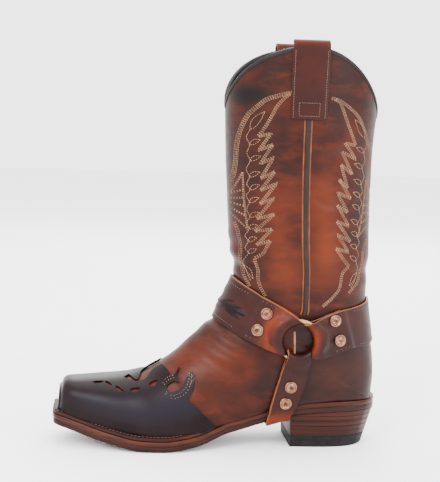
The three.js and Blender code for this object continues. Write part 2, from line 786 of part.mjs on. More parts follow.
addPiece("harness_ring_outer", ringSolid(outer, ringWire), brass);
addPiece("harness_ring_inner", ringSolid(inner, ringWire), brass);
const roomForRings = ringSolid(outer, ringWire + 2 * clearance).add(ringSolid(inner, ringWire + 2 * clearance));
const roomForSole = solePlate(
  soleStops,
  threeColumns,
  (x, side) => soleHalf(x, side) + clearance,
  (x) => midsoleTop(x) + clearance,
  (x) => outsoleBottom(x) - clearance,
);


// How far the strap's fold reaches back at a distance from its middle, so that it hugs the ring.
function foldShift(across) {
  const reach = Math.min(Math.abs(across), 0.86 * ringRadius);
  return ringRadius - Math.sqrt(ringRadius ** 2 - reach ** 2);
}

// A strap that runs round the ankle from ring to ring. turn: its direction from the outer ring,
// in degrees from the toe; columns of its table: run from the ring and the widths above and below
// its middle line, as shares of the strap width; ridge: rows of the upper that its edges cross.
const sideRun = 46;
function ankleStrap(turn, rows, ridgeRows, ridgeAngle) {
  const direction = new THREE.Vector2(-Math.cos(turn), Math.sin(turn));
  const upwards = new THREE.Vector2(Math.abs(direction.y) * Math.sign(-direction.x), Math.abs(direction.x));
  const curves = tableCurves(["run", "above", "below"], rows, "run");
  const ring = new THREE.Vector2(along(ringPosition.along), ringPosition.height * instepHeight);
  const start = ringRadius - foldRadius;
  const sidePlace = (run, across) => {
    const share = (start + run) / harnessStrapWidth;
    const above = curves.above(share) * harnessStrapWidth;
    const below = curves.below(share) * harnessStrapWidth;
    const offset = THREE.MathUtils.lerp(above, -below, across);
    const shift = foldShift(offset) * (1 - THREE.MathUtils.smoothstep(run, 4, sideRun - start));
    const point = ring.clone().addScaledVector(direction, start + run - shift).addScaledVector(upwards, offset);
    return locate(point.x, point.y, inner);
  };
  const lastRun = sideRun - start;
  const edge = [0, 0.5, 1].map((across) => sidePlace(lastRun, across));
  const wrapLength = lastPoint(edge[1].row, edge[1].angle).distanceTo(lastPoint((ridgeRows[0] + ridgeRows[1]) / 2, ridgeAngle));
  const half = lastRun + wrapLength;
  const placeAt = (run, across) => {
    if (run <= lastRun) return sidePlace(run, across);
    const u = Math.max(0, 1 - (run - lastRun) / wrapLength);
    const from = sidePlace(lastRun, across);
    const row = THREE.MathUtils.lerp(ridgeRows[0], ridgeRows[1], across);
    return {
      row: row + (from.row - row) * u ** 1.3,
      angle: ridgeAngle + (from.angle - ridgeAngle) * u,
    };
  };
  const pointAt = (run, across, height) => {
    const side = run <= half ? outer : inner;
    const near = run <= half ? run : 2 * half - run;
    const at = (share) => {
      const place = placeAt(near, share);
      return { point: lastPoint(place.row, side * place.angle), normal: lastNormal(place.row, side * place.angle) };
    };
    const here = at(across);
    const chord = at(0).point.lerp(at(1).point, across);
    const bridge = Math.max(0, chord.sub(here.point).dot(here.normal));
    const raise = ringLift(here.point, here.normal, side, near);
    return here.point.addScaledVector(here.normal, Math.max(bridge, raise) + height);
  };
  return { half, pointAt };
}

// The strap that goes down from the ring, round the sole in front of the heel and up again.
const underRows = [
  [0.77, 0.7325, 0.84],
  [0.6, 0.7206, 1.0],
  [0.516, 0.7111, 1.0],
  [0.392, 0.6984, 0.98],
  [0.31, 0.6885, 0.87],
  [0.225, 0.6795, 0.81],
];
function underStrap() {
  const curves = tableCurves(["height", "middle", "width"], underRows.toReversed(), "height");
  const top = ringPosition.height * instepHeight - ringRadius + foldRadius;
  const profile = (across, side) => {
    const points = [];
    const floor = outsoleBottom(along(curves.middle(0)));
    const placeX = (z) =>
      along(curves.middle(z / instepHeight)) + (across - 0.5) * curves.width(z / instepHeight) * underStrapWidth;
    for (let z = top + 6; z > floor; z -= 2) {
      const x = placeX(z);
      const place = locate(x, z, side);
      const body = z > soleTop(x) ? Math.abs(lastPoint(place.row, place.angle).y) + clearance : 0;
      const sole = z < midsoleTop(x) ? soleHalf(x, side) + clearance : 0;
      points.push(new THREE.Vector2(Math.max(body, sole), z));
    }
    const x = placeX(floor);
    const low = outsoleBottom(x) - 3 * clearance;
    points.push(new THREE.Vector2(soleHalf(x, side) + clearance, low), new THREE.Vector2(0, low));
    const taut = [];
    for (const point of points) {
      const bendsIn = () => {
        const [a, b] = taut.slice(-2);
        return (b.x - a.x) * (point.y - a.y) - (b.y - a.y) * (point.x - a.x) > 0;
      };
      while (taut.length > 1 && bendsIn()) taut.pop();
      taut.push(point);
    }
    const path = new THREE.CurvePath();
    for (let i = 1; i < taut.length; i++) path.add(new THREE.LineCurve(taut[i - 1], taut[i]));
    return { path, placeX, length: path.getLength() };
  };
  const profiles = {};
  const profileAt = (across, side) => (profiles[`${across} ${side}`] ??= profile(across, side));
  const half = profileAt(0.5, outer).length - 6;
  const pointAt = (run, across, height) => {
    const side = run <= half ? outer : inner;
    const near = run <= half ? run : 2 * half - run;
    const { path, placeX, length } = profileAt(across, side);
    const offset = (across - 0.5) * underStrapWidth;
    const shift = foldShift(offset) * (1 - THREE.MathUtils.smoothstep(near, 4, 30));
    const reach = 1.6;
    const distance = THREE.MathUtils.clamp((6 + near - shift) * (length / (half + 6)), 0, length);
    const at = (d) => path.getPointAt(THREE.MathUtils.clamp(d / length, 0, 1));
    const here = at(distance);
    const way = at(distance + reach).sub(at(distance - reach)).normalize();
    const point = new THREE.Vector3(placeX(here.y), side * here.x, here.y);
    const normal = new THREE.Vector3(0, -side * way.y, way.x);
    return point.addScaledVector(normal, height + (near < 18 ? ringLift(point, normal, side, near) : 0));
  };
  return { half, pointAt };
}

// The middle line of a strap's thickness: along the strap and up from the upper. Each end goes
// round its ring and comes back below the strap as a tab.
const overTab = tabRise + lift;
const foldTop = tabRise + 2 * foldRadius;
function foldLine(tab) {
  const line = [
    [tab, tabRise],
    [tab / 2, tabRise],
  ];
  for (const turn of [0, 40, 80, 120, 155, 180]) {
    const angle = THREE.MathUtils.degToRad(turn);
    line.push([foldRadius * (1 - Math.sin(angle)), tabRise + foldRadius * (1 - Math.cos(angle))]);
  }
  line.push([7, foldTop + 0.3], [10, foldTop - 1.6], [13, overTab + 1.2], [15.5, overTab]);
  for (let run = 27; run < tab; run += 12) line.push([run, overTab]);
  line.push([tab + 1, overTab], [tab + 9, tabRise]);
  return line;
}

const strapColumns = [0, 0.25, 0.5, 0.75, 1];
function strapSolid(strap, tab) {
  const start = foldLine(tab);
  const line = [...start];
  const first = start[start.length - 1][0];
  const steps = Math.round((strap.half - first) / 9);
  for (let i = 1; i <= steps; i++) line.push([first + (i * (strap.half - first)) / steps, tabRise]);
  for (const [run, rise] of line.slice(0, -1).reverse()) line.push([2 * strap.half - run, rise]);
  const face = [];
  const back = [];
  line.forEach(([run, rise], i) => {
    const before = line[Math.max(0, i - 1)];
    const after = line[Math.min(line.length - 1, i + 1)];
    const way = new THREE.Vector2(after[0] - before[0], after[1] - before[1]).setLength(strapThickness / 2);
    face.push(strapColumns.map((across) => strap.pointAt(run - way.y, across, rise + way.x)));
    back.push(strapColumns.map((across) => strap.pointAt(run + way.y, across, rise - way.x)));
  });
  return largest(outwards(plate(face, back)).subtract(roomForRings.add(roomForSole)));
}

// A riveted stud: a low dome in a raised rim
function studSolid(strap, run, across, side) {
  const profile = [
    [0, 0], [1, 0], [0.9, 1], [0.72, 0.6], [0, 1],
  ].map(([radius, height]) => new THREE.Vector2(radius * studRadius, height * studHeight));
  const dome = new THREE.LatheGeometry(profile, 12).rotateX(Math.PI / 2);
  const place = side === outer ? run : 2 * strap.half - run;
  const base = overTab + strapThickness / 2 + 2 * clearance;
  const foot = strap.pointAt(place, across, base);
  const axis = strap.pointAt(place, across, base + 1).sub(foot).normalize();
  dome.applyQuaternion(new THREE.Quaternion().setFromUnitVectors(new THREE.Vector3(0, 0, 1), axis));
  return outwards(bareGeometry(dome.translate(foot.x, foot.y, foot.z)));
}

const frontTurn = THREE.MathUtils.degToRad(23.9);
const backTurn = THREE.MathUtils.degToRad(180 - 17.5);
const rowAtRidge = (z) => solve(0, topRow, (row) => section.fz(row) - z);
const rowAtBack = (z) => solve(lastFlatRow, topRow, (row) => section.bz(row) - z);
const straps = {
  harness_front_strap: {
    strap: ankleStrap(
      frontTurn,
      [[0.22, 0.34, 0.34], [0.42, 0.42, 0.45], [0.7, 0.475, 0.49], [1.03, 0.505, 0.5]],
      [rowAtRidge(heightOf(1.168)), rowAtRidge(heightOf(1.003))],
      0,
    ),
    tab: 31,
    studs: [[22.6, 0.26], [22.8, 0.68]],
  },
  harness_back_strap: {
    strap: ankleStrap(
      backTurn,
      [[0.22, 0.3, 0.34], [0.49, 0.3, 0.49], [0.78, 0.32, 0.535], [1.03, 0.33, 0.54]],
      [rowAtBack(heightOf(1.091)), rowAtBack(heightOf(0.855))],
      Math.PI,
    ),
    tab: 31,
    studs: [[23, 0.17], [23, 0.7]],
  },
  harness_under_strap: { strap: underStrap(), tab: 56, studs: [[31, 0.5], [46.5, 0.5]] },
};
for (const [name, { strap, tab, studs }] of Object.entries(straps)) {
  addPiece(name, strapSolid(strap, tab), harnessLeather);
  for (const side of [outer, inner])
    studs.forEach(([run, across], i) => {
      const label = `${name.replace("harness_", "").replace("_strap", "")}_stud_${side === outer ? "outer" : "inner"}_${i + 1}`;
      addPiece(label, studSolid(strap, run, across, side), brass);
    });
}

// Pull straps over the collar, and the corded seams that run down both sides of the shaft
function shaftPlace(x, z, side) {
  const depth = (x - section.fx(topRow)) / (section.bx(topRow) - section.fx(topRow));
  const angle = side * Math.acos(1 - 2 * depth);
  const row = solve(lastFlatRow, topRow + 1, (r) => lastPoint(r, angle).z - z);
  return { row, angle };
}
const seamAlong = 0.731;

function pullStrap(side) {
  const outsideRise = seatRise + pullStrapThickness / 2;
  const insideRise = -(wall + insideSlack + pullStrapThickness / 2);
  const middle = (outsideRise + insideRise) / 2;
  const bend = (outsideRise - insideRise) / 2;
  const line = [];
  for (let i = 0; i <= 5; i++) line.push([-pullStrapOutside + (i * (pullStrapOutside - 1)) / 5, outsideRise]);
  for (const turn of [30, 60, 90, 120, 150]) {
    const angle = THREE.MathUtils.degToRad(turn);
    line.push([Math.sin(angle) * (pullLoopRise - pullStrapThickness / 2), middle + bend * Math.cos(angle)]);
  }
  for (let i = 0; i <= 4; i++) line.push([-1 - (i * (pullStrapInside - 1)) / 4, insideRise]);
  const across = [-0.5, -0.25, 0, 0.25, 0.5].map((share) => along(seamAlong) + share * pullStrapWidth);
  const layer = (direction) =>
    line.map(([rise, out], i) => {
      const before = line[Math.max(0, i - 1)];
      const after = line[Math.min(line.length - 1, i + 1)];
      const way = new THREE.Vector2(after[0] - before[0], after[1] - before[1]);
      way.setLength((direction * pullStrapThickness) / 2);
      const z = shaftHeight + rise - way.y;
      return across.map((x) => {
        const place = shaftPlace(x, Math.min(z, shaftHeight - 4), side);
        const normal = lastNormal(place.row, place.angle).setZ(0).normalize();
        const point = lastPoint(place.row, place.angle).addScaledVector(normal, out + way.x);
        return point.setZ(z);
      });
    });
  return outwards(plate(layer(1), layer(-1)));
}

function seamPiping(side) {
  const top = shaftHeight - pullStrapOutside - 2 * clearance;
  const bottom = ringPosition.height * instepHeight + ringRadius + ringWire + clearance;
  const steps = 11;
  const profile = [
    [-0.5, 0], [-0.32, 0.75], [0, 1], [0.32, 0.75], [0.5, 0],
  ];
  const layer = (heightAt) =>
    Array.from({ length: steps + 1 }, (_, i) => {
      const z = bottom + ((top - bottom) * i) / steps;
      return profile.map(([across, rise]) => {
        const place = shaftPlace(along(seamAlong) + across * pipingWidth, z, side);
        return lastPoint(place.row, place.angle).addScaledVector(lastNormal(place.row, place.angle), heightAt(rise));
      });
    });
  return outwards(plate(layer((rise) => clearance + 0.4 + rise * (pipingHeight - 0.4)), layer(() => clearance)));
}

for (const [side, label] of [[outer, "outer"], [inner, "inner"]]) {
  addPiece(`pull_strap_${label}`, pullStrap(side), harnessLeather);
  addPiece(`side_seam_${label}`, seamPiping(side), darkLeather);
}

// The origin is the middle of the box round the boot, on the floor.
const box = new THREE.Box3().setFromObject(boot);
const middle = box.getCenter(new THREE.Vector3());
for (const piece of boot.children) piece.geometry.translate(-middle.x, -middle.y, -box.min.z);

export default boot;
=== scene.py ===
# %% [markdown]
# # Western harness boot
# A pull-on leather boot with a square toe, a stacked heel and a strap harness round the ankle. The
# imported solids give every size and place. This lesson dresses them: a smooth creased upper, a cut-out
# toe cap, a welted sole, straps folded round brass rings, studs, embroidery and procedural leather.

# %% Load the frame
import math

import bpy
import numpy as np
from mathutils import Matrix, Vector


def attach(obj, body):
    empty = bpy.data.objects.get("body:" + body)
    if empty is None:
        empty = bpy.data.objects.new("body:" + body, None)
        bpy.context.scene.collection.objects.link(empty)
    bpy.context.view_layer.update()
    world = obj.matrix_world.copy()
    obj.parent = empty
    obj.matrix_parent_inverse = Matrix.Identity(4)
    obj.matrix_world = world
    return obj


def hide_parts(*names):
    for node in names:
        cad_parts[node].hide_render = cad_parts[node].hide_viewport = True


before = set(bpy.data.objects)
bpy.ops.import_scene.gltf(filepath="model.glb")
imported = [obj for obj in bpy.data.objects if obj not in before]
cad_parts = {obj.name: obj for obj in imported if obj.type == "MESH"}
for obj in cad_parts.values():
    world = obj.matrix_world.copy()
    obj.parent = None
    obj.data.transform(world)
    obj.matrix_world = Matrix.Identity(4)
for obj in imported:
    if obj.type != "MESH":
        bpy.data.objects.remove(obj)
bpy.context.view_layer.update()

MM = 0.001
OUTER = -1
INNER = 1
print("solids loaded:", len(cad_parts))

# %% [markdown]
# ## Camera, floor and light
# The photograph looks at the outer side from a little in front and above, with a long lens, so the
# camera is placed by those angles. A pale floor and three wide lamps give soft studio light with a
# gentle contact shadow.

# %% Camera
azimuth = math.radians(-6.5)
elevation = math.radians(7)
roll = math.radians(1.8)
target = Vector((0, 0, 0.196))
back = Vector((
    math.sin(azimuth) * math.cos(elevation),
    -math.cos(azimuth) * math.cos(elevation),
    math.sin(elevation),
))
level_right = (-back).cross(Vector((0, 0, 1))).normalized()
level_up = level_right.cross(-back)
right = level_right * math.cos(roll) + level_up * math.sin(roll)
up = level_up * math.cos(roll) - level_right * math.sin(roll)
camera_data = bpy.data.cameras.new("camera")
camera_data.sensor_width = 36
camera_data.lens = 89.0
camera = bpy.data.objects.new("camera", camera_data)
bpy.context.scene.collection.objects.link(camera)
place = target + back * 1.15
camera.matrix_world = Matrix((
    (right.x, up.x, back.x, place.x),
    (right.y, up.y, back.y, place.y),
    (right.z, up.z, back.z, place.z),
    (0, 0, 0, 1),
))
bpy.context.scene.camera = camera
print("camera at", [round(v, 3) for v in place])


# %% Floor and lamps
def only(piece):
    bpy.ops.object.select_all(action="DESELECT")
    piece.select_set(True)
    bpy.context.view_layer.objects.active = piece


bpy.ops.object.select_all(action="DESELECT")
bpy.ops.mesh.primitive_plane_add(size=8, location=(0, 0, 0))
floor = bpy.context.object
floor.name = "floor"


def lamp(name, power, size, spot, aim, colour=(1, 1, 1)):
    data = bpy.data.lights.new(name, "AREA")
    data.energy = power
    data.size = size
    data.color = colour
    light = bpy.data.objects.new(name, data)
    bpy.context.scene.collection.objects.link(light)
    light.location = spot
    light.rotation_euler = (Vector(aim) - Vector(spot)).to_track_quat("-Z", "Y").to_euler()
    return light


lamp("key", 44, 0.8, (-0.9, -1.3, 1.25), (0, 0, 0.18), (1.0, 0.985, 0.96))
lamp("fill", 20, 0.9, (1.2, -1.1, 0.8), (0, 0, 0.2), (0.96, 0.98, 1.0))
lamp("top", 34, 1.4, (0, 0.3, 1.9), (0, 0, 0.1))
lamp("rear", 26, 1.2, (0.3, 1.6, 1.1), (0, 0, 0.2))
world = bpy.data.worlds.new("studio")
bpy.context.scene.world = world
world.use_nodes = True
world.node_tree.nodes["Background"].inputs["Color"].default_value = (1, 1, 1, 1)
world.node_tree.nodes["Background"].inputs["Strength"].default_value = 3.6
print("floor and 4 lamps")

# %% [markdown]
# ## The shape of the last
# A boot is pulled over a wooden last, so one set of cross sections gives the whole upper. Each row of
# the table is a plane from a front point to a back point, with its widths as shares of the ball width.
# Smooth curves through the rows give any section between them. These are the same named sizes and
# rows that the solids were made from, so the smooth skin lies exactly on the solid one.

# %% Sizes and curves
BOOT_LENGTH = 315
BALL_WIDTH = 100
INSTEP_HEIGHT = 120
SHAFT_HEIGHT = 382
COLLAR_FRONT = 327
COLLAR_BACK = 320
HEEL_SEAT = 46.5
WALL = 2.4
GAP = 0.3
WELT = 4
MIDSOLE = 4.3
OUTSOLE = 5.2
CAMBER = 1.9
WELT_END = 0.487


def curve_through(positions, values):
    p = np.array(positions, float)
    v = np.array(values, float)
    slopes = np.diff(v) / np.diff(p)
    before = slopes[:-1]
    after = slopes[1:]
    same_way = before * after > 0
    total = np.where(same_way, before + after, 1)
    middle = np.where(same_way, 2 * before * after / total, 0)
    tangents = np.concatenate([slopes[:1], middle, slopes[-1:]])

    def curve(t):
        t = np.asarray(t, float)
        i = np.clip(np.searchsorted(p, t, side="left") - 1, 0, len(p) - 2)
        span = p[i + 1] - p[i]
        u = np.clip((t - p[i]) / span, 0, 1)
        start = (2 * u**3 - 3 * u**2 + 1) * v[i] + (u**3 - 2 * u**2 + u) * span * tangents[i]
        end = (3 * u**2 - 2 * u**3) * v[i + 1] + (u**3 - u**2) * span * tangents[i + 1]
        return start + end

    return curve


def along(share):
    return (share - 0.5) * BOOT_LENGTH


def share_of(x):
    return np.asarray(x, float) / BOOT_LENGTH + 0.5


def height_of(share):
    if share <= 1:
        return share * INSTEP_HEIGHT
    return INSTEP_HEIGHT + (share - 1) * (SHAFT_HEIGHT - INSTEP_HEIGHT)


def smoothstep(x, low, high):
    u = np.clip((np.asarray(x, float) - low) / (high - low), 0, 1)
    return u * u * (3 - 2 * u)


sole_rise = curve_through(
    [0, 0.06, 0.13, 0.2, 0.265, 0.335, 0.402, 0.48, 0.563, 0.645, 0.746, 0.88, 1],
    [0.755, 0.655, 0.52, 0.405, 0.33, 0.318, 0.372, 0.49, 0.62, 0.765, 0.925, 0.995, 1],
)
OUTLINE_SHARES = [
    0, 0.006, 0.018, 0.043, 0.087, 0.144, 0.21, 0.27, 0.335, 0.4, 0.46, 0.525, 0.59, 0.65, 0.715,
    0.785, 0.85, 0.91, 0.955, 0.98, 0.994, 1,
]
outline_outer = curve_through(OUTLINE_SHARES, [
    0.24, 0.38, 0.46, 0.54, 0.66, 0.8, 0.92, 0.99, 1.01, 0.98, 0.9, 0.8, 0.72, 0.68, 0.68, 0.7, 0.71,
    0.66, 0.53, 0.37, 0.2, 0.07,
])
outline_inner = curve_through(OUTLINE_SHARES, [
    0.31, 0.45, 0.53, 0.61, 0.73, 0.85, 0.95, 0.98, 0.94, 0.86, 0.77, 0.69, 0.64, 0.63, 0.65, 0.68,
    0.69, 0.65, 0.53, 0.37, 0.2, 0.07,
])


def sole_top(x):
    return sole_rise(share_of(x)) * HEEL_SEAT


def sole_half(x, side):
    share = share_of(x)
    return np.where(np.asarray(side) < 0, outline_outer(share), outline_inner(share)) * BALL_WIDTH / 2


def midsole_top(x):
    return sole_top(x) - WELT * (1 - smoothstep(share_of(x), WELT_END - 0.045, WELT_END + 0.045)) - GAP


def outsole_top(x):
    return midsole_top(x) - MIDSOLE - GAP


def outsole_bottom(x, across=0):
    camber = CAMBER * (1 - smoothstep(share_of(x), 0.48, 0.6)) * (1 - np.asarray(across, float) ** 2)
    return np.maximum(0, outsole_top(x) - OUTSOLE - camber)


print("sole rises to", round(float(sole_top(along(1))), 1), "mm at the heel")

# %% The table of sections
# Columns: front, its rise, back, its rise (None on the sole), outer and inner half widths, flat share,
# widest place, and the roundness of the upper and lower halves.
SECTIONS = [
    (0.0308, 0.445, 0.025, None, 0.35, 0.42, 0.9, 0.62, 3.0, 2.4),
    (0.0378, 0.486, 0.0317, None, 0.42, 0.49, 0.92, 0.62, 2.9, 2.4),
    (0.052, 0.498, 0.049, None, 0.49, 0.56, 0.93, 0.62, 2.8, 2.3),
    (0.087, 0.504, 0.094, None, 0.6, 0.67, 0.94, 0.64, 2.6, 2.2),
    (0.144, 0.518, 0.157, None, 0.73, 0.78, 0.94, 0.66, 2.4, 2.1),
    (0.208, 0.535, 0.233, None, 0.84, 0.87, 0.93, 0.7, 2.2, 2.0),
    (0.271, 0.573, 0.316, None, 0.92, 0.89, 0.93, 0.73, 2.05, 2.0),
    (0.322, 0.642, 0.411, None, 0.92, 0.83, 0.93, 0.73, 1.95, 2.0),
    (0.367, 0.728, 0.506, None, 0.87, 0.78, 0.9, 0.7, 1.9, 2.0),
    (0.405, 0.822, 0.602, None, 0.83, 0.76, 0.85, 0.62, 1.9, 2.0),
    (0.437, 0.9, 0.703, None, 0.81, 0.75, 0.8, 0.55, 1.95, 2.1),
    (0.462, 0.967, 0.802, None, 0.79, 0.75, 0.82, 0.5, 2.0, 2.2),
    (0.4815, 0.996, 0.887, None, 0.78, 0.76, 0.77, 0.47, 2.0, 2.3),
    (0.497, 1.015, 0.948, None, 0.78, 0.764, 0.58, 0.45, 2.0, 2.3),
    (0.506, 1.028, 0.975, None, 0.78, 0.77, 0.36, 0.45, 2.0, 2.3),
    (0.511, 1.036, 0.984, None, 0.784, 0.774, 0.12, 0.45, 2.0, 2.3),
    (0.514, 1.042, 0.988, 0.45, 0.786, 0.776, 0.0, 0.45, 2.0, 2.3),
    (0.519, 1.055, 0.991, 0.567, 0.79, 0.78, 0.0, 0.46, 2.0, 2.2),
    (0.525, 1.07, 0.987, 0.733, 0.8, 0.79, 0.0, 0.48, 2.0, 2.1),
    (0.532, 1.095, 0.977, 0.883, 0.81, 0.8, 0.0, 0.48, 2.0, 2.0),
    (0.54, 1.124, 0.967, 1.008, 0.82, 0.81, 0.0, 0.5, 2.0, 2.0),
    (0.545, 1.164, 0.96, 1.099, 0.84, 0.84, 0.0, 0.5, 2.0, 2.0),
    (0.544, 1.21, 0.959, 1.176, 0.86, 0.86, 0.0, 0.5, 2.0, 2.0),
    (0.533, 1.275, 0.96, 1.256, 0.89, 0.89, 0.0, 0.5, 2.0, 2.0),
    (0.522, 1.374, 0.96, 1.366, 0.93, 0.93, 0.0, 0.5, 2.0, 2.0),
    (0.516, 1.481, 0.958, 1.481, 0.97, 0.97, 0.0, 0.5, 2.0, 2.0),
    (0.508, 1.63, 0.96, 1.63, 1.02, 1.02, 0.0, 0.5, 2.0, 2.0),
    (0.502, None, 0.969, None, 1.06, 1.06, 0.0, 0.5, 2.0, 2.0),
]
TOP_ROW = len(SECTIONS) - 1
LAST_FLAT_ROW = 16
half_ball = BALL_WIDTH / 2
numbers = {name: [] for name in ("fx", "fz", "bx", "bz", "outer", "inner", "flat", "widest", "top", "low")}
for i, (front, front_rise, rear, rear_rise, outer, inner, flat, widest, top, low) in enumerate(SECTIONS):
    collar = i == TOP_ROW
    on_sole = float(midsole_top(along(rear))) + GAP
    numbers["fx"].append(along(front))
    numbers["fz"].append(COLLAR_FRONT if collar else height_of(front_rise))
    numbers["bx"].append(along(rear))
    numbers["bz"].append(COLLAR_BACK if collar else on_sole if rear_rise is None else height_of(rear_rise))
    numbers["outer"].append(outer * half_ball)
    numbers["inner"].append(inner * half_ball)
    numbers["flat"].append(flat)
    numbers["widest"].append(widest)
    numbers["top"].append(top)
    numbers["low"].append(low)
section = {name: curve_through(range(TOP_ROW + 1), values) for name, values in numbers.items()}
print("sections:", len(SECTIONS))


# %% Points on the last
def scallop(angle):
    turn = np.abs(np.sin(angle))
    front = np.cos(angle) > 0
    dip = np.where(front, COLLAR_FRONT, COLLAR_BACK)
    level = (COLLAR_FRONT + COLLAR_BACK) / 2 + (COLLAR_FRONT - COLLAR_BACK) / 2 * np.cos(angle)
    return dip + (SHAFT_HEIGHT - dip) * turn ** np.where(front, 1.0, 1.4) - level


def last_point(row, angle):
    row, angle = np.broadcast_arrays(np.asarray(row, float), np.asarray(angle, float))
    turn = np.minimum(np.abs(angle), math.pi)
    r = np.clip(row, 0, TOP_ROW)
    fx = section["fx"](r)
    fz = section["fz"](r)
    half = np.where(angle < 0, section["outer"](r), section["inner"](r))
    widest = section["widest"](r)
    flat = half * section["flat"](r)
    cos = np.abs(np.cos(turn))
    sin = np.abs(np.sin(turn))
    high = turn <= math.pi / 2
    top = 2 / section["top"](r)
    low = 2 / section["low"](r)
    depth = np.where(high, widest * (1 - cos**top), widest + (1 - widest) * cos**low)
    width = np.where(high, half * sin**top, flat + (half - flat) * sin**low)
    collar = scallop(angle) * np.maximum(0, row - (TOP_ROW - 1))
    z = fz + (section["bz"](r) - fz) * depth + collar + np.maximum(0, row - TOP_ROW) * COLLAR_FRONT
    return np.stack([fx + (section["bx"](r) - fx) * depth, np.where(angle < 0, -width, width), z], -1)


def unit(vectors):
    return vectors / np.maximum(1e-9, np.linalg.norm(vectors, axis=-1, keepdims=True))


def last_normal(row, angle):
    step = 0.02
    a = np.clip(angle, -math.pi + 2 * step, math.pi - 2 * step)
    r = np.clip(row, step, TOP_ROW - step)
    foot = last_point(r + step, a) - last_point(r - step, a)
    return unit(np.cross(foot, last_point(r, a + step) - last_point(r, a - step)))


def solve(low, high, f, like):
    a = np.full(np.shape(like), float(low))
    b = np.full(np.shape(like), float(high))
    positive = f(a) > 0
    for _ in range(34):
        middle = (a + b) / 2
        same = (f(middle) > 0) == positive
        a = np.where(same, middle, a)
        b = np.where(same, b, middle)
    return (a + b) / 2


def locate(x, z, side):
    x, z = np.broadcast_arrays(np.asarray(x, float), np.asarray(z, float))

    def off_line(row):
        fx = section["fx"](row)
        fz = section["fz"](row)
        return (x - fx) * (section["bz"](row) - fz) - (z - fz) * (section["bx"](row) - fx)

    row = solve(0, TOP_ROW, off_line, x)
    fx = section["fx"](row)
    fz = section["fz"](row)
    dx = section["bx"](row) - fx
    dz = section["bz"](row) - fz
    depth = np.clip(((x - fx) * dx + (z - fz) * dz) / (dx * dx + dz * dz), 0, 1)
    widest = section["widest"](row)
    high = np.clip(1 - depth / widest, 0, 1) ** (section["top"](row) / 2)
    low = np.clip((depth - widest) / (1 - widest), 0, 1) ** (section["low"](row) / 2)
    turn = np.where(depth < widest, np.arccos(high), math.pi - np.arccos(low))
    return row, side * turn


def place_on_side(x, z, side):
    row, angle = locate(x, z, side)
    for _ in range(5):
        row = solve(LAST_FLAT_ROW, TOP_ROW + 1, lambda r: last_point(r, angle)[..., 2] - z, z)
        r = np.clip(row, 0, TOP_ROW)
        depth = np.clip((x - section["fx"](r)) / (section["bx"](r) - section["fx"](r)), 0, 1)
        widest = section["widest"](r)
        high = np.clip(1 - depth / widest, 0, 1)
        low = np.clip((depth - widest) / (1 - widest), 0, 1)
        angle = side * np.where(depth < widest, np.arccos(high), math.pi - np.arccos(low))
    return row, angle


def shaft_place(x, z, side):
    x, z = np.broadcast_arrays(np.asarray(x, float), np.asarray(z, float))
    depth = (x - section["fx"](TOP_ROW)) / (section["bx"](TOP_ROW) - section["fx"](TOP_ROW))
    angle = side * np.arccos(np.clip(1 - 2 * depth, -1, 1))
    row = solve(LAST_FLAT_ROW, TOP_ROW + 1, lambda r: last_point(r, angle)[..., 2] - z, z)
    return row, angle


print("collar at the side:", round(float(last_point(TOP_ROW, -math.pi / 2)[2]), 1), "mm")


# %% [markdown]
# ## Helpers for pieces
# Every piece starts as a primitive. A grid is bent to its place point by point, as a sheet of leather
# is pulled over a form, then modifiers give it thickness and rounded edges. Masks for colour are kept
# as values on the points, so that they stay with the leather.

# %% Bending, thickness and finish
def bent_grid(name, across, lengthwise, place):
    bpy.ops.object.select_all(action="DESELECT")
    bpy.ops.mesh.primitive_grid_add(x_subdivisions=across, y_subdivisions=lengthwise, size=2)
    piece = bpy.context.object
    piece.name = name
    piece.data.name = name
    flat = np.empty(len(piece.data.vertices) * 3)
    piece.data.vertices.foreach_get("co", flat)
    flat = flat.reshape(-1, 3)
    u = np.clip((flat[:, 0] + 1) / 2, 0, 1)
    v = np.clip((flat[:, 1] + 1) / 2, 0, 1)
    points = place(u, v) * MM
    piece.data.vertices.foreach_set("co", points.astype(np.float32).ravel())
    piece.data.update()
    return piece, u, v


def paint(piece, name, values):
    attribute = piece.data.attributes.new(name, "FLOAT", "POINT")
    attribute.data.foreach_set("value", np.asarray(values, np.float32))


def apply(piece, kind, **settings):
    modifier = piece.modifiers.new(kind.title(), kind)
    for key, value in settings.items():
        setattr(modifier, key, value)
    only(piece)
    bpy.ops.object.modifier_apply(modifier=modifier.name)


def merge(piece, distance=0.02, outwards=True):
    only(piece)
    bpy.ops.object.mode_set(mode="EDIT")
    bpy.ops.mesh.select_all(action="SELECT")
    bpy.ops.mesh.remove_doubles(threshold=distance * MM)
    if outwards:
        bpy.ops.mesh.normals_make_consistent(inside=False)
    bpy.ops.object.mode_set(mode="OBJECT")


def finish_piece(piece, slot, materials, *nodes, angle=35):
    for material in materials:
        piece.data.materials.append(material)
    only(piece)
    bpy.ops.object.shade_smooth_by_angle(angle=math.radians(angle))
    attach(piece, "root")
    if nodes:
        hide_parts(*nodes)
    print(piece.name, len(piece.data.polygons), "faces")
    return piece
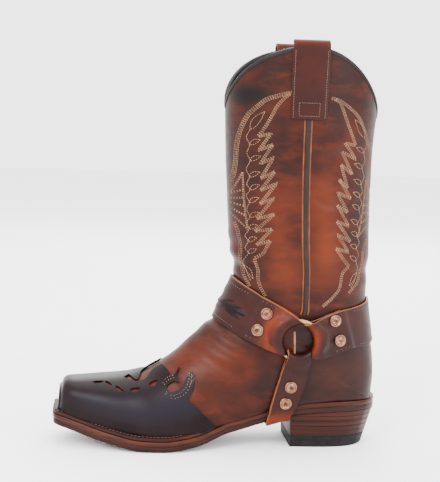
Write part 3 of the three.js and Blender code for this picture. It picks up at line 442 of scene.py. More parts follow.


# %% [markdown]
# ## Finishes
# Real pull-up leather is waxed, so it is glossy where it is smooth and changes colour where it was
# bent or rubbed. Each finish mixes a few colours with large soft noise for patina and fine cells for
# grain, and adds a bump for the pores. Masks painted on the points say where it is warm or dark, and
# where painted highlights lie on the straps and a painted sheen on the toe cap.

# %% Node helpers
class Finish:
    def __init__(self, name):
        self.material = bpy.data.materials.new(name)
        self.material.use_nodes = True
        self.tree = self.material.node_tree
        self.shader = self.tree.nodes["Principled BSDF"]
        self.place = self.node("ShaderNodeTexCoord").outputs["Object"]

    def node(self, kind, inputs=None, **settings):
        made = self.tree.nodes.new(kind)
        for key, value in settings.items():
            setattr(made, key, value)
        for key, value in (inputs or {}).items():
            self.set(made.inputs[key], value)
        return made

    def set(self, socket, value):
        if isinstance(value, bpy.types.NodeSocket):
            self.tree.links.new(value, socket)
        else:
            socket.default_value = value

    def noise(self, scale, detail=3, rough=0.55, stretch=(1, 1, 1), shift=0.0):
        mapping = self.node("ShaderNodeMapping", {"Vector": self.place, "Scale": stretch, "Location": (shift,) * 3})
        inputs = {"Vector": mapping.outputs[0], "Scale": scale, "Detail": detail, "Roughness": rough}
        return self.node("ShaderNodeTexNoise", inputs).outputs["Fac"]

    def cells(self, scale):
        return self.node("ShaderNodeTexVoronoi", {"Vector": self.place, "Scale": scale}).outputs["Distance"]

    def span(self, value, low, high, start=0.0, end=1.0):
        inputs = {"Value": value, "From Min": low, "From Max": high, "To Min": start, "To Max": end}
        return self.node("ShaderNodeMapRange", inputs, clamp=True).outputs["Result"]

    def mix(self, share, first, second, blend="MIX"):
        made = self.node("ShaderNodeMix", data_type="RGBA", blend_type=blend)
        self.set(made.inputs[0], share)
        self.set(made.inputs[6], first)
        self.set(made.inputs[7], second)
        return made.outputs[2]

    def math(self, operation, first, second=0.0):
        return self.node("ShaderNodeMath", {0: first, 1: second}, operation=operation).outputs[0]

    def mask(self, name):
        return self.node("ShaderNodeAttribute", attribute_name=name).outputs["Fac"]

    def bump(self, height, strength, depth):
        inputs = {"Height": height, "Strength": strength, "Distance": depth * MM}
        normal = self.node("ShaderNodeBump", inputs).outputs["Normal"]
        self.set(self.shader.inputs["Normal"], normal)

    def waxed(self, colour):
        return self.node("ShaderNodeGamma", {"Color": colour, "Gamma": 1.3}).outputs[0]

    def surface(self, **values):
        for key, value in values.items():
            self.set(self.shader.inputs[key.replace("_", " ")], value)
        return self.material


def rgb(red, green, painted_sheen):
    return (red, green, painted_sheen, 1)


def grain(finish, size=1.0):
    pores = finish.span(finish.cells(1100 / size), 0.0, 0.55)
    fibre = finish.noise(420 / size, 2)
    folds = finish.noise(70 / size, 4, 0.6, (1, 1, 2.2))
    rough = finish.math("ADD", finish.math("MULTIPLY", pores, 0.5), finish.math("MULTIPLY", fibre, 0.45))
    return finish.math("ADD", rough, finish.math("MULTIPLY", folds, 0.8))


# %% Leather finishes
def pull_up_leather():
    finish = Finish("pull_up_leather")
    cloud = finish.noise(16, 4, 0.6, (1, 1, 1.5))
    streak = finish.noise(30, 4, 0.6, (1, 1, 3.2), 0.4)
    base = finish.mix(finish.span(cloud, 0.4, 0.64), rgb(0.031, 0.0075, 0.0048), rgb(0.085, 0.0175, 0.0056))
    base = finish.mix(finish.span(streak, 0.5, 0.78, 0, 0.6), base, rgb(0.13, 0.028, 0.0062))
    base = finish.mix(finish.mask("warm_tone_and_highlight"), base, rgb(0.17, 0.038, 0.0068))
    base = finish.mix(finish.mask("dark"), base, rgb(0.0088, 0.0042, 0.0038))
    base = finish.mix(finish.mask("counter"), base, finish.mix(
        finish.span(cloud, 0.35, 0.7), rgb(0.024, 0.0082, 0.0066), rgb(0.056, 0.0165, 0.0105)))
    finish.bump(grain(finish), 0.32, 0.35)
    gloss = finish.span(finish.noise(60, 3), 0.3, 0.7, 0.3, 0.45)
    return finish.surface(Base_Color=finish.waxed(base), Roughness=gloss, Specular_IOR_Level=0.11)


def cap_leather():
    finish = Finish("cap_leather")
    cloud = finish.noise(22, 3, 0.55, (1, 1, 1.5))
    base = finish.mix(finish.span(cloud, 0.35, 0.7), rgb(0.0032, 0.0015, 0.0019), rgb(0.0085, 0.0036, 0.0044))
    # painted sheen: a lighter bluish band along the sides of the toe cap stands in for a reflection on the glossy
    # black leather
    base = finish.mix(finish.mask("painted_sheen"), base, rgb(0.0082, 0.0062, 0.0095))
    finish.bump(grain(finish, 0.9), 0.25, 0.3)
    return finish.surface(Base_Color=base, Roughness=0.34, Specular_IOR_Level=0.07)


def strap_leather():
    finish = Finish("strap_leather")
    cloud = finish.noise(26, 4, 0.6)
    base = finish.mix(finish.span(cloud, 0.35, 0.7), rgb(0.021, 0.0056, 0.0048), rgb(0.046, 0.0105, 0.0072))
    # painted highlight: on the straps this mask lightens the leather to orange round the raised folds
    glow = finish.math("MULTIPLY", finish.mask("warm_tone_and_highlight"), finish.span(finish.noise(60, 3), 0.3, 0.62, 0.35, 1))
    base = finish.mix(glow, base, rgb(0.17, 0.034, 0.0062))
    # painted highlight: a light line along the strap's upper edge, the side that faces the lamps
    base = finish.mix(finish.mask("edge"), base, rgb(0.26, 0.12, 0.065))
    finish.bump(grain(finish, 1.1), 0.3, 0.35)
    gloss = finish.span(finish.noise(70, 3), 0.3, 0.7, 0.3, 0.45)
    return finish.surface(Base_Color=finish.waxed(base), Roughness=gloss, Specular_IOR_Level=0.12)


def plain_leather(name, low, high, roughness, scale=30):
    finish = Finish(name)
    cloud = finish.noise(scale, 4, 0.6)
    base = finish.mix(finish.span(cloud, 0.35, 0.68), low, high)
    finish.bump(grain(finish), 0.3, 0.3)
    return finish.surface(Base_Color=base, Roughness=roughness, Specular_IOR_Level=0.15)


tan = pull_up_leather()
dark = cap_leather()
strap_finish = strap_leather()
lining = plain_leather("lining_leather", rgb(0.16, 0.09, 0.045), rgb(0.24, 0.145, 0.075), 0.75)
cut_edge = plain_leather("cut_edge", rgb(0.14, 0.055, 0.025), rgb(0.26, 0.12, 0.06), 0.6, 120)
binding_leather = plain_leather("binding_leather", rgb(0.004, 0.003, 0.003), rgb(0.01, 0.006, 0.005), 0.45)
cord_leather = plain_leather("cord_leather", rgb(0.006, 0.0028, 0.0028), rgb(0.015, 0.006, 0.005), 0.38, 40)
amber_edge = plain_leather("amber_edge", rgb(0.06, 0.015, 0.004), rgb(0.13, 0.035, 0.009), 0.45, 60)
print("leather finishes:", len(bpy.data.materials))


# %% Sole, rubber, metal and thread finishes
def sole_edge(name, low, high, bands):
    finish = Finish(name)
    layers = finish.noise(9, 3, 0.6, (1, 1, bands))
    wear = finish.noise(24, 4, 0.6, (1, 1, 2), 0.7)
    base = finish.mix(finish.span(layers, 0.35, 0.66), low, high)
    base = finish.mix(finish.span(wear, 0.56, 0.8, 0, 0.4), base, rgb(0.12, 0.032, 0.009))
    height = finish.math("ADD", layers, finish.math("MULTIPLY", finish.noise(500, 2), 0.3))
    finish.bump(height, 0.3, 0.4)
    return finish.surface(Base_Color=finish.waxed(base), Roughness=0.42, Specular_IOR_Level=0.12)


def rubber():
    finish = Finish("black_rubber")
    dust = finish.noise(140, 4, 0.7)
    base = finish.mix(finish.span(dust, 0.45, 0.75), rgb(0.004, 0.0036, 0.004), rgb(0.011, 0.009, 0.0085))
    finish.bump(finish.noise(700, 2), 0.25, 0.2)
    return finish.surface(Base_Color=base, Roughness=0.62, Specular_IOR_Level=0.12)


def metal(name, low, high, roughness):
    finish = Finish(name)
    tarnish = finish.noise(180, 4, 0.6)
    base = finish.mix(finish.span(tarnish, 0.4, 0.7), low, high)
    scratches = finish.noise(900, 2, 0.5, (1, 1, 6))
    finish.bump(scratches, 0.12, 0.05)
    gloss = finish.span(tarnish, 0.3, 0.7, roughness, roughness + 0.14)
    return finish.surface(Base_Color=base, Roughness=gloss, Metallic=1.0)


def thread(name, low, high):
    finish = Finish(name)
    base = finish.mix(finish.span(finish.noise(90, 3), 0.35, 0.65), low, high)
    finish.bump(finish.noise(2600, 1, 0.5, (1, 1, 3)), 0.4, 0.15)
    return finish.surface(Base_Color=base, Roughness=0.55, Sheen_Weight=0.2)


edge_finish = sole_edge("sole_edge", rgb(0.024, 0.0065, 0.0042), rgb(0.05, 0.0135, 0.0072), 26)
midsole_finish = sole_edge("midsole_edge", rgb(0.046, 0.0135, 0.0068), rgb(0.088, 0.027, 0.0125), 20)
stack_finish = sole_edge("stack_edge", rgb(0.032, 0.0095, 0.0068), rgb(0.068, 0.0205, 0.0125), 60)
rubber_finish = rubber()
copper = metal("copper", rgb(0.13, 0.06, 0.035), rgb(0.33, 0.175, 0.115), 0.3)
brass = metal("brass", rgb(0.27, 0.17, 0.075), rgb(0.46, 0.33, 0.18), 0.22)
tan_thread = thread("tan_thread", rgb(0.13, 0.05, 0.017), rgb(0.24, 0.11, 0.043))
brown_thread = thread("brown_thread", rgb(0.03, 0.01, 0.006), rgb(0.07, 0.024, 0.012))
floor_finish = Finish("floor")
floor_tone = floor_finish.mix(floor_finish.noise(3, 2), rgb(0.9, 0.9, 0.9), rgb(0.92, 0.92, 0.92))
floor.data.materials.append(floor_finish.surface(Base_Color=floor_tone, Roughness=0.9))
print("finishes:", len(bpy.data.materials))

# %% [markdown]
# ## Upper
# The upper is vamp, counter and shaft in one skin with a lining. Soft folds lie where an ankle bends
# and where a shaft settles. Each fold is a line given in side view, pressed in with a raised
# lip beside it. The grid follows the last, is pressed by the folds, and Solidify gives it its wall,
# with the lining as a second finish on the inside.

# %% Folds
# Each fold: which side (0 both), its width and depth in mm, and its line in side view.
FOLDS = [
    (0, 5.0, 1.1, [(14, 196), (24, 190), (38, 189), (52, 193)]),
    (0, 4.2, 0.9, [(12, 178), (22, 172), (36, 173), (50, 181), (60, 183)]),
    (0, 6.0, 0.9, [(150, 176), (138, 170), (122, 172), (108, 180)]),
    (OUTER, 4.5, 0.9, [(84, 244), (93, 238), (103, 239), (112, 244)]),
    (OUTER, 5.0, 0.8, [(82, 204), (92, 200), (104, 203)]),
    (OUTER, 5.5, 0.7, [(60, 262), (52, 256), (44, 258)]),
    (OUTER, 5.0, 0.7, [(62, 220), (54, 214), (46, 216)]),
    (OUTER, 6.5, 0.7, [(82, 296), (92, 290), (104, 293)]),
    (INNER, 5.0, 0.9, [(60, 232), (50, 226), (40, 229)]),
    (INNER, 5.0, 0.8, [(86, 214), (98, 208), (110, 212)]),
    (INNER, 6.0, 0.8, [(82, 272), (94, 266), (108, 270)]),
    (0, 2.4, 0.5, [(74, 109), (82, 108), (90, 110)]),
    (0, 2.4, 0.5, [(73, 101), (82, 100), (90, 102)]),
    (0, 4.0, 0.7, [(-8, 104), (2, 98), (14, 92), (26, 88)]),
    (0, 4.5, 0.6, [(-22, 92), (-10, 84), (4, 78)]),
    (0, 4.0, 0.5, [(-42, 78), (-36, 68), (-28, 58)]),
]
# Broad swells and hollows: side, middle in side view, radius, rise.
SWELLS = [
    (OUTER, 96, 218, 22, 0.9),
    (OUTER, 50, 236, 18, -0.8),
    (OUTER, 92, 264, 16, -0.7),
    (INNER, 50, 250, 22, 0.8),
    (INNER, 100, 236, 20, -0.8),
    (0, 6, 190, 16, 1.0),
    (0, 146, 190, 18, 0.8),
    (0, 20, 74, 24, 0.7),
]


def distance_to_line(x, z, line):
    nearest = np.full(np.shape(x), 1e9)
    for (ax, az), (bx, bz) in zip(line[:-1], line[1:]):
        length = (bx - ax) ** 2 + (bz - az) ** 2
        t = np.clip(((x - ax) * (bx - ax) + (z - az) * (bz - az)) / length, 0, 1)
        nearest = np.minimum(nearest, np.hypot(x - ax - t * (bx - ax), z - az - t * (bz - az)))
    return nearest


def pressed(points):
    x = points[..., 0]
    y = points[..., 1]
    z = points[..., 2]
    rise = np.zeros(np.shape(x))
    for side, width, depth, line in FOLDS:
        away = distance_to_line(x, z, line) / width
        share = 1 if side == 0 else smoothstep(y * side, -6, 6)
        rise -= share * depth * (np.exp(-away * away) - 0.45 * np.exp(-((away - 1.9) ** 2) * 1.4))
    for side, mid_x, mid_z, radius, height in SWELLS:
        share = 1 if side == 0 else smoothstep(y * side, -6, 6)
        rise += share * height * np.exp(-((x - mid_x) ** 2 + (z - mid_z) ** 2) / radius**2)
    return rise


COUNTER_SEAM = curve_through([20, 36, 60, 94, 118, 150], [53, 58, 65, 70, 69, 67])


def counter_share(points):
    x = points[..., 0]
    z = points[..., 2]
    return smoothstep(x - COUNTER_SEAM(z), -0.8, 0.8) * (1 - smoothstep(z, 116, 122))


def skin(row, angle, height=0.0):
    base = last_point(row, angle)
    lift = height + pressed(base) + 0.7 * counter_share(base)
    return base + last_normal(row, angle) * np.asarray(lift)[..., None]


print("folds:", len(FOLDS), "swells:", len(SWELLS))


# %% Upper skin
def row_stops(first, last, spacing):
    stops = []
    for i in range(first, last):
        reach = max(
            math.hypot(numbers["fx"][i + 1] - numbers["fx"][i], numbers["fz"][i + 1] - numbers["fz"][i]),
            math.hypot(numbers["bx"][i + 1] - numbers["bx"][i], numbers["bz"][i + 1] - numbers["bz"][i]),
        )
        steps = max(1, round(reach / spacing))
        stops += [i + k / steps for k in range(steps)]
    return np.array(stops + [last])


def blobs(points, places):
    total = np.zeros(len(points))
    for side, x, z, reach_x, reach_z, amount in places:
        near = np.exp(-((points[:, 0] - x) / reach_x) ** 2 - ((points[:, 2] - z) / reach_z) ** 2)
        share = 1 if side == 0 else smoothstep(points[:, 1] * side, -8, 8)
        total += amount * near * share
    return np.clip(total, 0, 1)


stops = row_stops(0, TOP_ROW, 2.1)
stop_places = np.linspace(0, 1, len(stops))


def upper_place(u, v):
    return skin(np.interp(u, stop_places, stops), (v * 2 - 1) * math.pi)


upper, _, _ = bent_grid("upper_leather", len(stops) - 1, 150, upper_place)
spots = np.empty(len(upper.data.vertices) * 3)
upper.data.vertices.foreach_get("co", spots)
spots = spots.reshape(-1, 3) / MM
warm_places = [
    (0, 96, 196, 16, 34, 0.75), (OUTER, 60, 172, 16, 20, 0.5), (OUTER, 90, 250, 12, 22, 0.35),
    (0, 40, 330, 22, 12, 0.3), (OUTER, 116, 306, 10, 20, 0.3), (0, 0, 84, 26, 16, 0.35),
    (0, -30, 52, 40, 16, 0.3), (INNER, 60, 226, 22, 30, 0.45), (0, 50, 205, 10, 30, 0.3),
]
dark_places = [
    (0, 24, 338, 22, 9, 0.85), (OUTER, 10, 334, 18, 10, 0.45), (OUTER, 52, 320, 14, 16, 0.3),
    (0, 46, 150, 12, 10, 0.45), (0, 22, 245, 11, 62, 0.42), (0, 128, 245, 11, 62, 0.38),
    (0, 40, 80, 10, 32, 0.45), (INNER, 110, 318, 20, 14, 0.5), (0, 6, 160, 14, 12, 0.3),
]
paint(upper, "warm_tone_and_highlight", blobs(spots, warm_places))
paint(upper, "dark", blobs(spots, dark_places))
paint(upper, "counter", counter_share(spots))
merge(upper, outwards=False)
apply(upper, "SOLIDIFY", thickness=WALL * MM, offset=-1, material_offset=1, use_even_offset=False)
finish_piece(upper, "tan_leather", [tan, lining], "upper", angle=50)

# %% [markdown]
# ## Collar binding and counter edge
# A strip of thin dark leather is folded over the raw collar edge. It is a grid bent along the edge,
# with a small hairpin as its cross section. The counter has a pale cut edge that shows in the ring.


# %% Binding
BINDING = np.array([
    (-3.4, 0.1), (-3.2, 0.6), (-1.6, 0.75), (-0.2, 0.7), (0.5, 0.2), (0.75, -1.2), (0.5, -2.6),
    (-0.2, -3.1), (-1.6, -3.15), (-3.2, -3.0), (-3.4, -2.5), (-3.4, 0.1),
])


def binding_place(u, v):
    angle = (u * 2 - 1) * math.pi
    down = np.interp(v, np.linspace(0, 1, len(BINDING)), BINDING[:, 0])
    out = np.interp(v, np.linspace(0, 1, len(BINDING)), BINDING[:, 1])
    edge = skin(np.full(len(u), float(TOP_ROW)), angle)
    below = skin(np.full(len(u), TOP_ROW - 0.2), angle)
    return edge + unit(edge - below) * down[:, None] + last_normal(TOP_ROW, angle) * out[:, None]


binding, _, _ = bent_grid("collar_binding", 240, 22, binding_place)
merge(binding)
finish_piece(binding, "dark_leather", [binding_leather], angle=60)


def edge_strip(name, side):
    def strip_place(u, v):
        z = 30 + v * 86
        x = COUNTER_SEAM(z) + (u - 0.5) * 1.5
        row, angle = locate(x, z, side)
        return skin(row, angle, 0.25 + 0.5 * np.sin(u * math.pi))

    strip, _, _ = bent_grid(name, 6, 60, strip_place)
    apply(strip, "SOLIDIFY", thickness=0.5 * MM, offset=0)
    return finish_piece(strip, "tan_leather", [cut_edge])


edge_strip("counter_edge_outer", OUTER)
edge_strip("counter_edge_inner", INNER)

# %% [markdown]
# ## Toe cap
# The cap is one piece of dark leather with a flame-cut edge and leaf-shaped holes that show the tan
# vamp below. It could be drawn on the curved toe, but a cutter cuts leather flat. So a flat sheet is
# cut here with the outline and the holes first, and then bent over the toe.

# %% Cap pattern
CAP_SPIKE = 0.325
CAP_OUTLINE = [
    (0.2937, 0.6025), (0.2705, 0.57), (0.2581, 0.5317), (0.2476, 0.5258), (0.2302, 0.5408),
    (0.214, 0.5267), (0.2324, 0.5167), (0.2597, 0.5175), (0.2838, 0.5433), (0.3029, 0.5933),
    (0.3311, 0.6383), (0.3492, 0.6008), (0.3559, 0.5667), (0.3663, 0.5908), (0.38, 0.6408),
    (0.3727, 0.5875), (0.3784, 0.5383), (0.3619, 0.5383), (0.3448, 0.5142), (0.3394, 0.4908),
    (0.3511, 0.4675), (0.3717, 0.4817), (0.3892, 0.5167), (0.4, 0.5733), (0.4165, 0.6192),
    (0.4235, 0.5925), (0.42, 0.5192), (0.4044, 0.4167), (0.4486, 0.3083), (0.493, 0.1825),
]
CAP_HOLES = [
    (0.118, 0.494, 0.1571, 0.503), (0.158, 0.503, 0.179, 0.484), (0.1873, 0.4817, 0.2146, 0.4508),
    (0.2314, 0.4625, 0.2622, 0.4808), (0.2895, 0.5042, 0.3156, 0.54),
]
CAP_LOW = 2.78
GIRTH = 22
FRONT_REACH = 14
ridge_arc = np.concatenate([[0], np.cumsum(np.hypot(np.diff(numbers["fx"]), np.diff(numbers["fz"])))])
arc_at = curve_through(range(TOP_ROW + 1), ridge_arc)


def row_at_arc(arc):
    return solve(0, TOP_ROW, lambda row: arc_at(row) - arc, arc)


def pattern_point(share, rise, side):
    row, angle = locate(along(share), rise * INSTEP_HEIGHT, side)
    return np.array([float(arc_at(row)), float(np.clip(angle, -CAP_LOW, CAP_LOW)) * GIRTH])


def rounded_line(points, steps=5, corner=62):
    points = np.array(points)
    count = len(points)
    leaving = []
    arriving = []
    for i in range(count):
        before = points[i] - points[max(0, i - 1)]
        after = points[min(count - 1, i + 1)] - points[i]
        turn = math.degrees(abs(math.atan2(
            before[0] * after[1] - before[1] * after[0], before @ after)))
        sharp = turn > corner or i in (0, count - 1)
        leaving.append(after if sharp else (before + after) / 2)
        arriving.append(before if sharp else (before + after) / 2)
    line = []
    for i in range(count - 1):
        for k in range(steps):
            u = k / steps
            a = (2 * u**3 - 3 * u**2 + 1) * points[i] + (3 * u**2 - 2 * u**3) * points[i + 1]
            b = (u**3 - 2 * u**2 + u) * leaving[i] + (u**3 - u**2) * arriving[i + 1]
            line.append(a + b)
    return np.array(line + [points[-1]])


def cap_edge(side):
    row = solve(0, TOP_ROW, lambda r: section["fx"](r) - along(CAP_SPIKE), 0.0)
    points = [np.array([float(arc_at(row)), 0.0])]
    points += [pattern_point(share, rise, side) for share, rise in CAP_OUTLINE]
    return rounded_line(points)


near = cap_edge(OUTER)
far = cap_edge(INNER)
outline = np.vstack([
    near,
    [[-FRONT_REACH, -CAP_LOW * GIRTH], [-FRONT_REACH, CAP_LOW * GIRTH]],
    far[::-1][:-1],
])
print("cap outline:", len(outline), "points")


# %% Cut the cap flat
def leaf(start, end, width, bend=0.0, count=9):
    way = end - start
    side = np.array([-way[1], way[0]]) / np.hypot(*way) * width / 2
    shares = np.linspace(0, 1, count)
    swell = np.sin(np.pi * shares**0.8)
    middle = start + shares[:, None] * way + np.outer(np.sin(np.pi * shares) * bend, side)
    above = middle + swell[:, None] * side
    below = middle - swell[:, None] * side
    return np.vstack([above, below[::-1][1:-1]])


def outline_block(name, loops, low, high):
    points = []
    faces = []
    for loop in loops:
        faces.append(list(range(len(points), len(points) + len(loop))))
        points += [(x * MM, y * MM, low * MM) for x, y in loop]
    mesh = bpy.data.meshes.new(name)
    mesh.from_pydata(points, [], faces)
    block = bpy.data.objects.new(name, mesh)
    bpy.context.scene.collection.objects.link(block)
    only(block)
    bpy.ops.object.mode_set(mode="EDIT")
    bpy.ops.mesh.select_all(action="SELECT")
    bpy.ops.mesh.extrude_region_move(TRANSFORM_OT_translate={"value": (0, 0, (high - low) * MM)})
    bpy.ops.mesh.select_all(action="SELECT")
    bpy.ops.mesh.normals_make_consistent(inside=False)
    bpy.ops.object.mode_set(mode="OBJECT")
    return block


def cut(piece, block, operation):
    apply(piece, "BOOLEAN", operation=operation, object=block, solver="EXACT")
    bpy.data.objects.remove(block)


arc_far = outline[:, 0].max() + 4
arc_near = -FRONT_REACH + 0.01


def sheet_place(u, v):
    x = arc_near + u * (arc_far - arc_near)
    return np.stack([x, (v * 2 - 1) * (CAP_LOW * GIRTH + 3), np.full(len(u), 1.8)], -1)


cap, _, _ = bent_grid("toe_cap_leather", 130, 92, sheet_place)
apply(cap, "SOLIDIFY", thickness=1.5 * MM, offset=-1)
cut(cap, outline_block("cap_outline", [outline], -2, 5), "INTERSECT")
holes = []
for side in (OUTER, INNER):
    for a, b, c, d in CAP_HOLES:
        holes.append(leaf(pattern_point(a, b, side), pattern_point(c, d, side), 2.9, 0.5 * side))
cut(cap, outline_block("cap_holes", holes, -2, 5), "DIFFERENCE")
print("flat cap:", len(cap.data.polygons), "faces")


# %% Bend the cap over the toe
def cap_point(arc, angle, height):
    row = row_at_arc(np.maximum(arc, 0))
    t = np.clip(-arc / FRONT_REACH, 0, 1)
    angle = angle * (1 + (math.pi / CAP_LOW - 1) * np.minimum(1, 3 * t))
    base = last_point(row, angle) + last_normal(row, angle) * np.asarray(height)[..., None]
    centre = np.stack([
        np.full(np.shape(arc), section["fx"](0) - 0.6),
        np.zeros(np.shape(arc)),
        np.full(np.shape(arc), (section["fz"](0) + section["bz"](0)) / 2),
    ], -1)
    forward = 2.4 * np.sqrt(1 - (1 - np.minimum(1, t / 0.3)) ** 2)
    point = base + (centre - base) * (t**1.2)[..., None]
    point[..., 0] -= forward
    return point


flat = np.empty(len(cap.data.vertices) * 3)
cap.data.vertices.foreach_get("co", flat)
flat = flat.reshape(-1, 3) / MM
bent = cap_point(flat[:, 0], flat[:, 1] / GIRTH, flat[:, 2])
cap.data.vertices.foreach_set("co", (bent * MM).astype(np.float32).ravel())
cap.data.update()
# painted sheen: a bluish band at the same turn on both sides of the toe, fading in behind the tip
painted_sheen = np.exp(-((np.abs(flat[:, 1]) / GIRTH - 1.25) / 0.3) ** 2) * smoothstep(flat[:, 0], 0, 30)
paint(cap, "painted_sheen", np.clip(painted_sheen, 0, 1))
apply(cap, "TRIANGULATE")
finish_piece(cap, "dark_leather", [dark], "toe_cap", angle=38)

# %% [markdown]
# ## Sole
# Welt, midsole and outsole are cut to the plan of the foot and stacked. Each is a ring of edge points
# carried from toe to heel, close together at the two ends where the outline turns quickly. The edges
# are slightly rounded, as a worn and waxed sole edge is.


# %% Sole layers
def sole_layer(name, first, last, inset, top, bottom, slot, material, node, rounding=0.7):
    profile = []
    for across in np.linspace(-1, 1, 13):
        profile.append((across, 1.0, 0.0))
    for turn in np.linspace(0, 90, 4)[1:]:
        a = math.radians(turn)
        profile.append((1, 1 - (1 - math.cos(a)), math.sin(a)))
    ring = []
    for across in np.linspace(-1, 1, 13):
        ring.append((across, 1, 1 if abs(across) == 1 else 0))
    ring.append((1, 0.75, 0))
    ring.append((1, 0.25, 0))
    for across in np.linspace(1, -1, 13):
        ring.append((across, 0, 1 if abs(across) == 1 else 0))
    ring.append((-1, 0.25, 0))
    ring.append((-1, 0.75, 0))
    ring.append(ring[0])
    ring = np.array(ring)
    places = np.arange(len(ring)) / (len(ring) - 1)

    def layer_place(u, v):
        index = np.rint(u * (len(ring) - 1)).astype(int)
        across = ring[index, 0]
        level = ring[index, 1]
        corner = ring[index, 2]
        run = np.clip((v - 0.02) / 0.96, 0, 1)
        closing = np.clip(np.maximum((0.02 - v) / 0.02, (v - 0.98) / 0.02), 0, 1)
        x = first + (last - first) * (0.5 - 0.5 * np.cos(run * math.pi))
        half = np.maximum(1, sole_half(x, np.where(across < 0, OUTER, INNER)) - inset)
        shrink = (half - rounding * corner) / half * (1 - closing)
        high = top(x)
        low = bottom(x, across)
        z = low + (high - low) * np.where(closing > 0.5, 0.5, level)
        return np.stack([x, across * half * shrink, z], -1)

    piece, _, _ = bent_grid(name, len(places) - 1, 150, layer_place)
    merge(piece, 0.01)
    return finish_piece(piece, slot, [material], node, angle=40)


sole_layer(
    "midsole_leather", along(0), along(1), 0, midsole_top, lambda x, _: midsole_top(x) - MIDSOLE,
    "edge_leather", midsole_finish, "midsole",
)
sole_layer(
    "outsole_leather", along(0) + 0.7, along(1) - 0.7, 0.7, outsole_top, outsole_bottom,
    "edge_leather", edge_finish, "outsole",
)


# %% Welt
def welt_place(u, v):
    side = np.where(v < 0.5, OUTER, INNER)
    run = np.abs(v * 2 - 1)
    x = along(WELT_END) + (along(0) + 0.9 - along(WELT_END)) * np.sin((1 - run) * math.pi / 2)
    ring = np.array([(0, 1), (0.15, 1), (0.5, 1), (0.85, 1), (1, 0.85), (1, 0.15), (0.85, 0), (0, 0), (0, 1)])
    index = np.rint(u * 8).astype(int)
    inwards = 13 * (1 - ring[index, 0])
    half = np.maximum(0.5, sole_half(x, side) - 0.9)
    inner_half = np.maximum(0, half - inwards)
    low = midsole_top(x) + GAP
    high = np.maximum(low + 0.3, sole_top(x))
    tip = np.clip(1 - (x - along(0)) / 14, 0, 1)
    return np.stack([x + inwards * tip, side * inner_half, low + (high - low) * ring[index, 1]], -1)


welt, _, _ = bent_grid("welt_leather", 8, 240, welt_place)
merge(welt, 0.01)
finish_piece(welt, "edge_leather", [edge_finish], "welt", angle=40)

# %% [markdown]
# ## Heel
# The heel is built of leather lifts that narrow downwards, with fine grooves between them, and a
# black rubber top lift. One closed outline is carried up through all of them.

# %% Heel outline
HEEL_FRONT = along(0.72)
HEEL_BACK = along(1) - 1.3
HEEL_TOP = float(outsole_bottom(HEEL_BACK))
LIFT_TOP = 11.4
STACK_LIFTS = 5


def heel_point(u, z, groove):
    fall = 1 - z / HEEL_TOP
    front = HEEL_FRONT + 1.5 * fall
    rear = HEEL_BACK - 10.6 * fall
    narrowing = 1 - 0.13 * fall
    side = np.where(u < 0.5, OUTER, INNER)
    run = np.abs(u * 2 - 1)
    breast = run > 0.86
    t = np.clip(run / 0.86, 0, 1)
    plan = HEEL_BACK - (HEEL_BACK - HEEL_FRONT) * (1 - np.cos(t * math.pi / 2) ** 1.0)
    half = (np.maximum(1, sole_half(plan, side) - 0.7) - 0.6) * narrowing - groove
    half = half * np.where(t < 0.02, t / 0.02, 1)
    x = front + (plan - HEEL_FRONT) * (rear - front) / (HEEL_BACK - HEEL_FRONT)
    across = np.where(breast, 1 - (run - 0.86) / 0.14, 1)
    bulge = 1.2 * np.maximum(0, 1 - 1.4 * fall) * np.where(breast, 1 - across**2, 0)
    return np.stack([x - bulge, side * half * across, z], -1)


def heel_piece(name, levels, material, slot, node):
    levels = np.array([levels[0], *levels, levels[-1]])
    last = len(levels) - 1

    def heel_place(u, v):
        index = np.rint(v * last).astype(int)
        z = levels[index, 0]
        point = heel_point(u, z, levels[index, 1])
        middle = np.stack([np.full(len(u), 112.0), np.zeros(len(u)), z], -1)
        point = np.where(((index == 0) | (index == last))[:, None], middle, point)
        point[:, 2] = np.minimum(point[:, 2], outsole_bottom(point[:, 0]) - GAP)
        return point

    piece, _, _ = bent_grid(name, 140, last, heel_place)
    merge(piece, 0.01)
    return finish_piece(piece, slot, [material], node, angle=40)


stack_levels = [(LIFT_TOP + GAP, 0)]
for lift in range(1, STACK_LIFTS):
    seam = LIFT_TOP + GAP + lift * (HEEL_TOP - LIFT_TOP - GAP) / STACK_LIFTS
    stack_levels += [(seam - 0.45, 0), (seam - 0.2, 0.35), (seam + 0.2, 0.35), (seam + 0.45, 0)]
stack_levels += [(HEEL_TOP - 3, 0), (HEEL_TOP + 1, 0)]
heel_piece("heel_stack_leather", stack_levels, stack_finish, "stack_leather", "heel_stack")
lift_levels = [(0, 0.8), (0.3, 0.25), (1, 0), (5.4, 0), (5.7, 0.25), (6.0, 0), (LIFT_TOP - 0.3, 0), (LIFT_TOP, 0.3)]
heel_piece("top_lift_rubber", lift_levels, rubber_finish, "heel_rubber", "heel_top_lift")

# %% [markdown]
# ## Harness rings
# A cast brass ring lies flat against each side of the ankle. The torus primitive is already its true
# shape, so it is only placed and turned to lie along the ankle.

